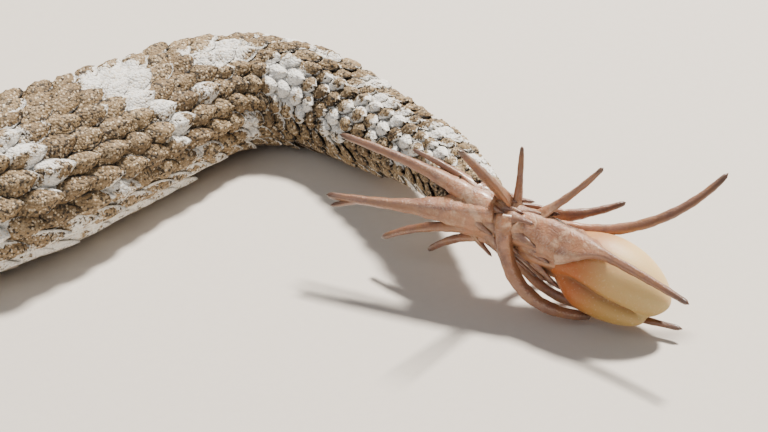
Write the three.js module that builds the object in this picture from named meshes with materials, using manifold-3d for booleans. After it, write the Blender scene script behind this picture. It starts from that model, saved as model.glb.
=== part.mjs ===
// A spider-tailed horned viper, life size, resting in a flat coil with its neck raised over it.
// Millimetres, +Z up. The origin is on the floor under the hind body, 12 mm ahead of the vent.
// Along the snake, s runs from the snout (negative) through the origin (0) to the root of the
// tail lure (positive). Headings are degrees in plan, of the way towards the tail.
import * as THREE from "three";
import { mergeVertices } from "three/addons/utils/BufferGeometryUtils.js";
import Module from "manifold-3d";

const wasm = await Module();
wasm.setup();

const GAP = 0.3; // left between pieces that meet
const TINY = 1e-4; // points nearer than this are one
const ORIGIN_HEADING = 37.5;
// Bends of the centreline, each [length, change of heading]: from the origin back to the lure,
// and from the origin forward to the snout.
const TAIL_BENDS = [[10, 14], [24, 0], [21, -107], [37, -18]];
const BODY_BENDS = [[60, -36], [54, 0], [310, -268], [66, -94], [50, -92], [44, -88], [56, 0]];
const BEND_EASE = 6; // each bend fades into the next over this length to either side
const HEAD_LENGTH = 36;
const BODY_LENGTH = BODY_BENDS.reduce((sum, [length]) => sum + length, 0);
const TAIL_LENGTH = TAIL_BENDS.reduce((sum, [length]) => sum + length, 0);
const NAPE = HEAD_LENGTH - BODY_LENGTH; // s where the head meets the neck

// Half widths, each [distance from the snout, half width], and then from the origin back.
const BODY_GIRTH = [[36, 8.6], [70, 9.6], [140, 12.8], [230, 15.8], [330, 17.3], [430, 17],
  [520, 15.2], [590, 12.4], [BODY_LENGTH, 10.6]];
const TAIL_GIRTH = [[15, 9.5], [30, 8.5], [45, 7.2], [60, 5.9], [75, 4.7], [TAIL_LENGTH, 3.6]];
const BELLY_DROP = 0.86; // height of the widest line above the flat belly, in half widths
const BACK_RISE = 1.02; // height of the back above the widest line, in half widths

// Heights of the belly above the floor: the neck climbs over the coil, the tail lifts its lure.
const NECK_CLIMB = { from: -478, to: -588, height: 34 };
const TAIL_CLIMB = { from: 52, to: TAIL_LENGTH, height: 7.6 };

// Where one length of the body ends and the next begins.
const CUTS = [NAPE, -560, -515, -470, -424, -362, -300, -238, -176, -114, -52, 12, 45, TAIL_LENGTH];
const LENGTH_NAMES = ["neck", "fore_body_1", "fore_body_2", "fore_body_3", "mid_body_1",
  "mid_body_2", "mid_body_3", "mid_body_4", "hind_body_1", "hind_body_2", "hind_body_3",
  "tail_1", "tail_2"];

const SIDES = 20;
const RING_STEP = 6;

// The tail lure: a stalk set with long scales, then a soft bulb. The bulb sits off the stalk's
// axis by side (to the left of the way to the tip) and rise.
const LURE = { heading: -29.5, pitch: -16 };
const STALK_GIRTH = [[0, 3.4], [3, 3.1], [6, 3.0], [9, 3.2], [12.5, 2.9]];
const BULB = { from: 8.6, to: 25.2, half: 4.25, side: 0.5, rise: 0.7 };
const LOBE = { from: 8.6, to: 23.6, half: 2.5, side: -1.7, rise: -1.35 };
// How a bulb swells: how wide it is at its root and how far back its fullest part lies.
const SWELL = { start: 0.08, back: 1.25, full: 0.55, least: 0.4, steps: 14 };

// The long scales. at is the distance along the stalk, roll the place round it (0 is up, 90 is
// the side to the left of the way to the tip), from and to are the [heading, climb] in which the
// scale sets out and ends, wide is its width as a leaf, leaf the share of it that is leaf, and
// thick the thickness of the leg that it draws in to. settle is the share of the length in which
// it turns from one to the other, all of it where none is given.
const LEGS = [
  { at: 1.5, roll: -55, from: [164, -6], to: [159, -1], length: 19.5, wide: 4.4, leaf: 0.7, thick: 1.5 },
  { at: 0.8, roll: -25, from: [146, 13], to: [153, 6], length: 20, wide: 3.8, leaf: 0.6, thick: 1.35 },
  { at: 1.0, roll: -5, from: [142, 20], to: [154, 13], length: 11, wide: 2.6, leaf: 0.6, thick: 0.95 },
  { at: 3.2, roll: 15, from: [-129, 50], to: [-132, 47], length: 14.5, wide: 3, leaf: 0.5, thick: 1.3 },
  { at: 4.4, roll: 10, from: [78, 77], to: [78, 77], length: 7.5, wide: 3.2, leaf: 0.55, thick: 0.9 },
  { at: 6.6, roll: 10, from: [-12, 34], to: [-2, 50], length: 10.5, wide: 3.2, leaf: 0.7, thick: 1 },
  { at: 4.4, roll: 85, from: [-10, -4], to: [10, 18], length: 12.5, wide: 3.8, leaf: 0.75, thick: 1.3 },
  { at: 8.2, roll: 55, from: [-22, -6], to: [25, 40], length: 22.5, wide: 3, leaf: 0.4, thick: 1.45 },
  { at: 5.2, roll: -10, from: [-36, -4], to: [-50, -4], length: 24.5, wide: 5.6, leaf: 0.6, thick: 1.3 },
  { at: 4.2, roll: -60, from: [-101, -54], to: [6, -3], length: 16.8, wide: 3, leaf: 0.3, thick: 1.85 },
  { at: 2.8, roll: -100, from: [146, -4], to: [152, -34], length: 15.5, wide: 2.6, leaf: 0.4, thick: 1.3 },
  { at: 3.4, roll: -120, from: [140, -10], to: [140, -45], length: 11, wide: 2.4, leaf: 0.4, thick: 1.2 },
  { at: 6.4, roll: -50, from: [-15, -45], to: [-16, -56], length: 9, wide: 3.4, leaf: 1, thick: 0.9 },
  { at: 2.2, roll: -85, from: [-30, -62], to: [10, -58], length: 6, wide: 2.4, leaf: 1, thick: 0.8 },
  { at: 4.6, roll: 105, from: [60, -48], to: [-10, -10], length: 11, wide: 2.6, leaf: 0.4, thick: 1.4 },
  { at: 8.0, roll: 110, from: [15, -34], to: [-20, -12], length: 10, wide: 3, leaf: 0.7, thick: 1 },
  { at: 5.4, roll: -170, from: [-32, -64], to: [-25, 0], length: 23.5, wide: 2.2, leaf: 0.3, thick: 1.2,
    settle: 0.5 },
];
// Short pointed scales in rings round the stalk, between the long ones.
const SHORT_SCALES = { rings: [0.6, 3.6, 6.6], around: 6, length: 5.6, wide: 3.1, flare: 17, thick: 0.8 };
const LEG_SIDES = 6;
const LEG_STEPS = 10;
const LEG_ROOT = 1.2; // how far a long scale's root is sunk behind its start
const LEG_START = 0.8; // how far out in the stalk a scale starts, as a share of its half width
const LEG_TIP = 0.5; // thickness at the tip, as a share of the leg's
const LEG_TAPER = 2.5; // how late along the leg it thins: 1 is evenly
const LEAF_NECK = 0.7; // width of a leaf at its root, as a share of its full width
const LEAF_RISE = 0.3; // how far through its swelling a leaf sets out

const rad = THREE.MathUtils.degToRad;
const clamp = THREE.MathUtils.clamp;
const smooth = (x) => x * x * (3 - 2 * x);

// The value at x of a list of [x, value] pairs, run straight between them.
function along(pairs, x) {
  if (x <= pairs[0][0]) return pairs[0][1];
  for (let i = 1; i < pairs.length; i++) {
    const [x0, v0] = pairs[i - 1];
    const [x1, v1] = pairs[i];
    if (x <= x1) return v0 + ((v1 - v0) * (x - x0)) / (x1 - x0);
  }
  return pairs[pairs.length - 1][1];
}

function bentHeading(s) {
  let left = Math.abs(s);
  let heading = ORIGIN_HEADING;
  for (const [length, turn] of s >= 0 ? TAIL_BENDS : BODY_BENDS) {
    if (left <= length) return heading + (turn * left) / length;
    heading += turn;
    left -= length;
  }
  return heading;
}

function headingAt(s) {
  const samples = 9;
  let sum = 0;
  for (let i = 0; i < samples; i++) {
    sum += bentHeading(s - BEND_EASE + (2 * BEND_EASE * i) / (samples - 1));
  }
  return sum / samples;
}

// The centreline in plan, walked in steps of half a millimetre both ways from the origin.
const WALK = 0.5;
function walk(sign, length) {
  const points = [[0, 0]];
  for (let i = 0; i * WALK < length; i++) {
    const heading = rad(headingAt(sign * (i + 0.5) * WALK));
    const [x, y] = points[i];
    points.push([x + sign * WALK * Math.cos(heading), y + sign * WALK * Math.sin(heading)]);
  }
  return points;
}
const TO_TAIL = walk(1, TAIL_LENGTH);
const TO_SNOUT = walk(-1, BODY_LENGTH);

const climb = ({ from, to, height }, s) => height * smooth(clamp((s - from) / (to - from), 0, 1));
const liftAt = (s) => climb(NECK_CLIMB, s) + climb(TAIL_CLIMB, s);

function girthAt(s) {
  return s < 0 ? along(BODY_GIRTH, s + BODY_LENGTH) : along([[0, 10.6], ...TAIL_GIRTH], s);
}

// The middle of the widest line at s, and the frame there: ahead is the way to the tail.
function placeAt(s) {
  const points = s < 0 ? TO_SNOUT : TO_TAIL;
  const n = clamp(Math.abs(s) / WALK, 0, points.length - 1.001);
  const [a, b] = [points[Math.floor(n)], points[Math.floor(n) + 1]];
  const f = n - Math.floor(n);
  const heading = rad(headingAt(s));
  const height = (at) => liftAt(at) + BELLY_DROP * girthAt(at);
  const slope = (liftAt(s + 1) - liftAt(s - 1)) / 2;
  const ahead = new THREE.Vector3(Math.cos(heading), Math.sin(heading), slope).normalize();
  const left = new THREE.Vector3(-Math.sin(heading), Math.cos(heading), 0);
  const up = new THREE.Vector3().crossVectors(ahead, left);
  const middle = new THREE.Vector3(a[0] + (b[0] - a[0]) * f, a[1] + (b[1] - a[1]) * f, height(s));
  return { middle, ahead, left, up };
}

// A flat-bellied section round the widest line, as points in order round the body.
function bodyRing(s, grow = 0) {
  const { middle, left, up } = placeAt(s);
  const half = girthAt(s) + grow;
  return Array.from({ length: SIDES }, (_, i) => {
    const turn = (2 * Math.PI * (i + 0.5)) / SIDES;
    const drop = Math.max(Math.sin(turn) * BACK_RISE, -BELLY_DROP) * half;
    return middle.clone().addScaledVector(left, -Math.cos(turn) * half).addScaledVector(up, drop);
  });
}

// A closed geometry through rings of like count, with a fan over each end.
function loft(rings) {
  const count = rings[0].length;
  const middle = (ring) =>
    ring.reduce((sum, p) => sum.add(p), new THREE.Vector3()).divideScalar(count);
  const points = [...rings.flat(), middle(rings[0]), middle(rings[rings.length - 1])];
  const first = points.length - 2;
  const faces = [];
  for (let r = 0; r + 1 < rings.length; r++) {
    for (let i = 0; i < count; i++) {
      const [a, b] = [r * count + i, r * count + ((i + 1) % count)];
      faces.push(a, b, b + count, a, b + count, a + count);
    }
  }
  const last = (rings.length - 1) * count;
  for (let i = 0; i < count; i++) {
    const j = (i + 1) % count;
    faces.push(first, j, i, first + 1, last + i, last + j);
  }
  const geometry = new THREE.BufferGeometry().setFromPoints(points);
  geometry.setIndex(faces);
  return geometry;
}

// A geometry as a solid, turned the right way out.
function solid(geometry) {
  const bare = geometry.clone();
  bare.deleteAttribute("normal");
  bare.deleteAttribute("uv");
  const merged = mergeVertices(bare, TINY);
  const triVerts = new Uint32Array(merged.index.array);
  const vertProperties = new Float32Array(merged.attributes.position.array);
  const make = () => new wasm.Manifold(new wasm.Mesh({ numProp: 3, vertProperties, triVerts }));
  const made = make();
  if (made.volume() > 0) return made;
  for (let i = 0; i < triVerts.length; i += 3) {
    [triVerts[i + 1], triVerts[i + 2]] = [triVerts[i + 2], triVerts[i + 1]];
  }
  return make();
}

const largest = (made) =>
  made.decompose().reduce((best, body) => (body.volume() > best.volume() ? body : best));

const group = new THREE.Group();
const MATERIALS = {
  scales: { color: 0xa58a63, roughness: 0.85, metalness: 0 },
  tailScales: { color: 0x9a7f56, roughness: 0.85, metalness: 0 },
  lureFlesh: { color: 0xa9785f, roughness: 0.5, metalness: 0 },
  bulb: { color: 0xe6cf9c, roughness: 0.55, metalness: 0 },
  horn: { color: 0xb29a75, roughness: 0.8, metalness: 0 },
  eye: { color: 0x8b8272, roughness: 0.1, metalness: 0 },
};

function addNode(name, made, material) {
  const { vertProperties, triVerts, numProp } = largest(made).getMesh();
  const geometry = new THREE.BufferGeometry();
  const positions = new Float32Array((vertProperties.length / numProp) * 3);
  for (let i = 0; i < positions.length / 3; i++) {
    positions.set(vertProperties.subarray(i * numProp, i * numProp + 3), i * 3);
  }
  geometry.setAttribute("position", new THREE.BufferAttribute(positions, 3));
  geometry.setIndex(new THREE.BufferAttribute(new Uint32Array(triVerts), 1));
  const mesh = new THREE.Mesh(geometry, new THREE.MeshStandardMaterial(MATERIALS[material]));
  mesh.name = name;
  group.add(mesh);
}

// One length of the neck, body or tail, or the space that it needs with a gap all round.
function bodyLength(from, to, grow = 0) {
  const start = from + GAP / 2;
  const end = to - GAP / 2 + grow;
  const steps = Math.max(2, Math.round((end - start) / Math.min(RING_STEP, girthAt(from) * 0.75)));
  const rings = [];
  for (let i = 0; i <= steps; i++) rings.push(bodyRing(start + ((end - start) * i) / steps, grow));
  return solid(loft(rings));
}

LENGTH_NAMES.forEach((name, i) => {
  const material = name.startsWith("tail") ? "tailScales" : "scales";
  addNode(name, bodyLength(CUTS[i], CUTS[i + 1]), material);
});

// The head, built with x to the snout, y to its left and z up from the throat.
const HEAD = {
  length: HEAD_LENGTH,
  // [x, half width, height of the crown, height of the throat, height of the widest line]
  sections: [
    [0.15, 8.5, 15.0, 0.3, 7.0],
    [3, 10.0, 15.2, 0.2, 6.6],
    [6.5, 12.3, 15.6, 0.1, 6.0],
    [10, 13.6, 16.0, 0, 5.8],
    [14, 13.3, 16.2, 0, 5.8],
    [18, 12.0, 16.3, 0, 6.0],
    [22, 10.6, 16.2, 0.1, 6.2],
    [25, 9.7, 15.5, 0.2, 6.2],
    [28, 8.8, 14.2, 0.5, 6.1],
    [31, 7.9, 13.2, 0.9, 6.0],
    [33.6, 6.7, 12.4, 1.6, 6.0],
    [35.2, 5.1, 11.4, 2.6, 6.1],
    [36, 2.9, 10.0, 3.8, 6.4],
  ],
  square: 2.7, // how square the section is: 2 is an ellipse
  sides: 32,
};
// The mouth in profile: its line at the snout, under the eye and at the corner.
const MOUTH = { front: 5.3, under: 4.5, corner: 6.3, cornerAt: 9.5, underAt: 24 };
const EYE = { radius: 2.2, at: 22.8, out: 8.2, high: 11.0 };
const NOSTRIL = { radius: 0.6, depth: 1.4, at: 32.8, out: 5.6, high: 10.4, way: [-0.35, -0.85, -0.25] };
const BROW = { at: 22.2, out: 7.3, high: 13.7, long: 4.4, wide: 2.3, tall: 1.9 };
// The horns: a low foot on each brow, set with spikes in two staggered rows. lean is how far the
// tips spread along the head, sweep how far they go back, out how far they go sideways, fan how
// much further the outer row does, and drop how much lower the end spikes are.
const HORN = { spikes: 7, long: 4.4, root: 1.3, tip: 0.3, spread: 3.8, foot: 1.5, thick: 1.1, over: 0.8,
  lean: 2.4, sweep: 0.6, out: 1.2, fan: 0.8, drop: 1.5, rows: [0.5, -0.8], sides: 6 };
const LIP = { swell: 0.45, high: 1.1 };

// The height of the mouth line at x, above the throat's level.
function mouthAt(x) {
  const { front, under, corner, cornerAt, underAt } = MOUTH;
  if (x > underAt) return under + (front - under) * ((x - underAt) / (HEAD.length - underAt)) ** 2;
  return under + (corner - under) * clamp((underAt - x) / (underAt - cornerAt), 0, 1.2) ** 2;
}

function headRing([x, half, crown, throat, widest]) {
  return Array.from({ length: HEAD.sides }, (_, i) => {
    const turn = (2 * Math.PI * (i + 0.5)) / HEAD.sides;
    const [c, s] = [Math.cos(turn), Math.sin(turn)];
    const reach = (v) => Math.sign(v) * Math.abs(v) ** (2 / HEAD.square);
    const tall = s > 0 ? crown - widest : widest - throat;
    const z = widest + reach(s) * tall;
    const lip = x > MOUTH.cornerAt ? LIP.swell * Math.exp(-(((z - mouthAt(x)) / LIP.high) ** 2)) : 0;
    return new THREE.Vector3(x, -reach(c) * half - Math.sign(c) * lip, z);
  });
}

// An ellipsoid of the given half sizes at a point.
function ellipsoid(x, y, z, long, wide, tall, detail = 20) {
  const geometry = new THREE.SphereGeometry(1, detail, Math.round(detail * 0.6));
  geometry.scale(long, wide, tall);
  geometry.translate(x, y, z);
  return solid(geometry);
}

// A tapered round spike from one point to another.
function spike(from, to, root, tip, sides = 7) {
  const line = new THREE.Vector3().subVectors(to, from);
  const geometry = new THREE.CylinderGeometry(tip, root, line.length(), sides, 1);
  geometry.translate(0, line.length() / 2, 0);
  geometry.applyQuaternion(
    new THREE.Quaternion().setFromUnitVectors(new THREE.Vector3(0, 1, 0), line.normalize()),
  );
  geometry.translate(from.x, from.y, from.z);
  return solid(geometry);
}

// All below the mouth line, as a block as wide as the head, with its top lowered by drop.
function belowMouth(drop, back) {
  const outline = new THREE.Shape();
  const edge = MOUTH.cornerAt - back;
  const front = HEAD.length + 2;
  outline.moveTo(edge, -2);
  outline.lineTo(front, -2);
  const steps = 16;
  for (let i = 0; i <= steps; i++) {
    const x = front + ((edge - front) * i) / steps;
    outline.lineTo(x, mouthAt(x) - drop);
  }
  const geometry = new THREE.ExtrudeGeometry(outline, { depth: 40, bevelEnabled: false });
  geometry.rotateX(Math.PI / 2);
  geometry.translate(0, 20, 0);
  return solid(geometry);
}

function buildHead() {
  let full = solid(loft(HEAD.sections.map(headRing)));
  for (const side of [1, -1]) {
    full = full.add(
      ellipsoid(BROW.at, side * BROW.out, BROW.high, BROW.long, BROW.wide, BROW.tall, 14),
    );
  }
  let head = full.subtract(belowMouth(0, GAP));
  const jaw = full.intersect(belowMouth(GAP, 0));
  const pieces = {};
  for (const [side, label] of [[1, "left"], [-1, "right"]]) {
    const eye = ellipsoid(EYE.at, side * EYE.out, EYE.high, EYE.radius, EYE.radius, EYE.radius, 16);
    const socket = EYE.radius + GAP;
    head = head.subtract(ellipsoid(EYE.at, side * EYE.out, EYE.high, socket, socket, socket, 16));
    const nose = new THREE.Vector3(NOSTRIL.at, side * NOSTRIL.out, NOSTRIL.high);
    const [back, across, down] = NOSTRIL.way;
    const inward = new THREE.Vector3(back, side * across, down).normalize();
    const mouthOfPit = nose.clone().addScaledVector(inward, -NOSTRIL.depth);
    const endOfPit = nose.clone().addScaledVector(inward, NOSTRIL.depth);
    const [deep, wide] = [NOSTRIL.radius * 0.5, NOSTRIL.radius * 1.3];
    head = head.subtract(spike(endOfPit, mouthOfPit, deep, wide, 8));
    pieces[`eye_${label}`] = eye;
  }
  for (const [side, label] of [[1, "left"], [-1, "right"]]) {
    const { spikes, long, root, tip, spread, foot, thick, over, lean, sweep, out, fan, drop } = HORN;
    const high = BROW.high + over;
    const across = BROW.out + GAP;
    let horn = ellipsoid(BROW.at, side * across, high + over, spread * 0.6, foot, thick, 12);
    for (let i = 0; i < spikes; i++) {
      const f = i / (spikes - 1) - 0.5;
      const row = HORN.rows[i % HORN.rows.length];
      const start = new THREE.Vector3(BROW.at + f * spread, side * (across + row), high);
      const way = [f * lean - sweep, side * (out + row * fan), long * (1 - drop * f * f)];
      const end = start.clone().add(new THREE.Vector3(...way));
      horn = horn.add(spike(start, end, root, tip, HORN.sides));
    }
    const clear = head
      .translate([0, 0, GAP])
      .add(head.translate([0, side * GAP, GAP / 2]))
      .add(head);
    pieces[`horn_${label}`] = horn.subtract(clear);
  }
  return { head, lower_jaw: jaw, ...pieces };
}

// The head's own frame laid on the route, its throat level with the neck's underside.
const nape = placeAt(NAPE);
const headFrame = new THREE.Matrix4().makeBasis(
  nape.ahead.clone().negate(), nape.left.clone().negate(), new THREE.Vector3(0, 0, 1));
headFrame.setPosition(nape.middle.x, nape.middle.y, liftAt(NAPE));
for (const [name, made] of Object.entries(buildHead())) {
  const material = name.split("_")[0];
  const placed = made.transform(headFrame.toArray());
  addNode(name, placed, MATERIALS[material] ? material : "scales");
}

// The lure's frame: its axis runs from the end of the tail to the bulb's end.
function direction(heading, pitch) {
  const [h, p] = [rad(heading), rad(pitch)];
  return new THREE.Vector3(Math.cos(p) * Math.cos(h), Math.cos(p) * Math.sin(h), Math.sin(p));
}
const lureRoot = placeAt(TAIL_LENGTH).middle;
const lureAxis = direction(LURE.heading, LURE.pitch);
const lureLeft = direction(LURE.heading + 90, 0);
const lureUp = new THREE.Vector3().crossVectors(lureAxis, lureLeft);
const lurePoint = (at, left, up) =>
  lureRoot.clone().addScaledVector(lureAxis, at).addScaledVector(lureLeft, left)
    .addScaledVector(lureUp, up);

// Rings along the lure's axis from girths, [at, half width] pairs, set off to a side and up.
function lureLoft(girths, steps, sides, side = 0, rise = 0) {
  const from = girths[0][0];
  const to = girths[girths.length - 1][0];
  const rings = [];
  for (let r = 0; r <= steps; r++) {
    const at = from + ((to - from) * r) / steps;
    const half = along(girths, at);
    const shift = smooth(clamp((at - from) / (to - from) * 2, 0, 1));
    rings.push(Array.from({ length: sides }, (_, i) => {
      const turn = (2 * Math.PI * (i + 0.5)) / sides;
      return lurePoint(at, side * shift + Math.cos(turn) * half, rise * shift + Math.sin(turn) * half);
    }));
  }
  return solid(loft(rings));
}

// A long form that swells from its root and closes round at its far end.
function swelling({ from, to, half, side, rise }, grow, sides) {
  const { start, back, full, least, steps } = SWELL;
  const profile = [];
  for (let i = 0; i <= steps; i++) {
    const f = i / steps;
    const swell = Math.sin(Math.PI * (start + (1 - start) * f) ** back) ** full;
    profile.push([from - grow + (to - from + 2 * grow) * f, Math.max(least, half * swell + grow)]);
  }
  return lureLoft(profile, steps, sides, side, rise);
}
const BULB_SIDES = 18;
const LOBE_SIDES = 14;
const buildBulb = (grow) => swelling(BULB, grow, BULB_SIDES).add(swelling(LOBE, grow, LOBE_SIDES));

// One long scale: a leaf at its root that draws in to a round leg and tapers to its tip.
function legRings(scale, steps = LEG_STEPS) {
  const { at, roll, from, to, length, wide, leaf, thick, settle = 1 } = scale;
  const [left, up] = [Math.sin(rad(roll)), Math.cos(rad(roll))];
  const reach = along(STALK_GIRTH, at) * LEG_START;
  const outward = new THREE.Vector3().addScaledVector(lureLeft, left).addScaledVector(lureUp, up);
  const [start, end] = [direction(...from), direction(...to)];
  const point = lurePoint(at, left * reach, up * reach).addScaledVector(start, -LEG_ROOT);
  const rings = [];
  for (let i = 0; i <= steps; i++) {
    const f = i / steps;
    const way = start.clone().lerp(end, Math.min(1, f / settle)).normalize();
    const broad = new THREE.Vector3().crossVectors(way, outward).normalize();
    const face = new THREE.Vector3().crossVectors(broad, way);
    const round = thick * (1 - (1 - LEG_TIP) * f ** LEG_TAPER);
    const bulge = Math.sin(Math.PI * clamp(LEAF_RISE + f / leaf, 0, 1));
    const spread = smooth(clamp(1 - f / leaf, 0, 1)) * (LEAF_NECK + (1 - LEAF_NECK) * bulge);
    const halfWide = (round + (wide - round) * spread) / 2;
    rings.push(Array.from({ length: LEG_SIDES }, (_, k) => {
      const angle = (2 * Math.PI * (k + 0.5)) / LEG_SIDES;
      return point.clone()
        .addScaledVector(broad, Math.cos(angle) * halfWide)
        .addScaledVector(face, (Math.sin(angle) * round) / 2);
    }));
    point.addScaledVector(way, (length + LEG_ROOT) / steps);
  }
  return rings;
}

function shortScales() {
  const { rings, around, length, wide, flare, thick } = SHORT_SCALES;
  return rings.flatMap((at, r) => Array.from({ length: around }, (_, i) => {
    const roll = ((i + (r % 2) / 2) * 360) / around;
    const [left, up] = [Math.sin(rad(roll)), Math.cos(rad(roll))];
    const way = lureAxis.clone().addScaledVector(lureLeft, left * Math.tan(rad(flare)))
      .addScaledVector(lureUp, up * Math.tan(rad(flare))).normalize();
    const aim = [Math.atan2(way.y, way.x), Math.asin(way.z)].map(THREE.MathUtils.radToDeg);
    return { at, roll, from: aim, to: aim, length, wide, leaf: 1, thick };
  }));
}

function buildStalk() {
  let stalk = lureLoft(STALK_GIRTH, 5, 14);
  const { x, y, z } = lureRoot;
  stalk = stalk.add(ellipsoid(x, y, z, ...Array(3).fill(STALK_GIRTH[0][1]), 14));
  for (const leg of LEGS) stalk = stalk.add(solid(loft(legRings(leg))));
  for (const scale of shortScales()) stalk = stalk.add(solid(loft(legRings(scale, 4))));
  const lastLength = bodyLength(CUTS[CUTS.length - 2], TAIL_LENGTH, GAP);
  return stalk.subtract(lastLength).subtract(buildBulb(GAP));
}

addNode("lure_stalk", buildStalk(), "lureFlesh");
addNode("lure_bulb", buildBulb(0), "bulb");

export default group;
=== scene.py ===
"""The looks of a life-size spider-tailed horned viper that rests in a flat coil.

Sizes are millimetres in the model's own frame until a mesh is made, which is in metres. Along the
snake, s runs from the snout (negative) through the origin (0) to the root of the tail lure. Round
it, turn is an angle from the middle of the back (0) to the middle of the belly (pi).
"""

import logging
import math
from dataclasses import dataclass, field, replace
from enum import Enum

import bpy
import numpy as np
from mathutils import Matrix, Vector

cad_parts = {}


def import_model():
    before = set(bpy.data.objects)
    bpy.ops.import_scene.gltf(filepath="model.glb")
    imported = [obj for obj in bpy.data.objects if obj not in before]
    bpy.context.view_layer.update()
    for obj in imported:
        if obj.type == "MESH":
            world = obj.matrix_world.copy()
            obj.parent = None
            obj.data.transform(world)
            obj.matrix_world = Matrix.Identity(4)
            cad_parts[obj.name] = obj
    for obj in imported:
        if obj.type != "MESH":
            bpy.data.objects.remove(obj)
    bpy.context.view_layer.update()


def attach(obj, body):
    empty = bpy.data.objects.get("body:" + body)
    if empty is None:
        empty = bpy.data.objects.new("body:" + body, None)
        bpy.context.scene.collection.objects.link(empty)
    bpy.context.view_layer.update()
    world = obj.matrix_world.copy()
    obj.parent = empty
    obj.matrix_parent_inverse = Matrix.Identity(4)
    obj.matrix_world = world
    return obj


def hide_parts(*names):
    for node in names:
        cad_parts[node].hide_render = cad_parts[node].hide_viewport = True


log = logging.getLogger("viper")
MM = 0.001
BODY = "root"
PATCH = 0.003  # how wide one scale's patch is on the unwrap
Array = np.ndarray


def smooth(x: Array) -> Array:
    """Returns 0 below 0, 1 above 1 and an eased step between."""
    x = np.clip(x, 0.0, 1.0)
    return x * x * (3 - 2 * x)


def bell(x: Array, width: float) -> Array:
    """Returns a bell curve of the given width, 1 at x = 0."""
    return np.exp(-((x / width) ** 2))


def unit(v: Array) -> Array:
    """Returns the vectors along the last axis at length 1."""
    return v / np.linalg.norm(v, axis=-1, keepdims=True)


def direction(heading: float, pitch: float) -> Array:
    """Returns the unit vector of a heading in plan and a pitch above it, in degrees."""
    h, p = math.radians(heading), math.radians(pitch)
    return np.array([math.cos(p) * math.cos(h), math.cos(p) * math.sin(h), math.sin(p)])


def eased_table(table: tuple, x: Array) -> Array:
    """Reads a table of (x, value) pairs along a smooth curve through them.

    Args:
        table: The pairs, in order of x.
        x: Where to read it.

    Returns:
        The values at x.
    """
    xs, ys = np.array(table, float).T
    slope = np.gradient(ys, xs)
    i = np.clip(np.searchsorted(xs, x) - 1, 0, len(xs) - 2)
    step = xs[i + 1] - xs[i]
    t = np.clip((x - xs[i]) / step, 0, 1)
    keep = ys[i] * (1 + 2 * t) * (1 - t) ** 2 + ys[i + 1] * t * t * (3 - 2 * t)
    return keep + step * (slope[i] * t * (1 - t) ** 2 - slope[i + 1] * t * t * (1 - t))


def read(table: tuple, x: Array) -> Array:
    """Reads a table of (x, value) pairs in straight lines between them."""
    return np.interp(x, *np.array(table, float).T)


def together(*values: Array | float) -> Array:
    """Returns values side by side along a new last axis."""
    return np.stack(np.broadcast_arrays(*values), -1)


def full_turn(count: int) -> Array:
    """Returns equal steps once round a circle, as one row."""
    return (np.arange(count) * 2 * math.pi / count)[None, :]


def ripple(x: Array, y: Array, size: float, seed: int) -> Array:
    """Returns a smooth random field of about -1 to 1 from a few crossed waves.

    Args:
        x: First coordinate in mm.
        y: Second coordinate in mm.
        size: How far apart its lumps are, in mm.
        seed: Which field.

    Returns:
        The field at each point.
    """
    rng = np.random.default_rng(seed)
    waves = 9
    total = np.zeros(np.broadcast(x, y).shape)
    for _ in range(waves):
        angle, phase = rng.uniform(0, 2 * math.pi, 2)
        rate = 2 * math.pi / (size * rng.uniform(0.8, 1.9))
        total += np.sin((x * math.cos(angle) + y * math.sin(angle)) * rate + phase)
    return total / math.sqrt(waves)


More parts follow.
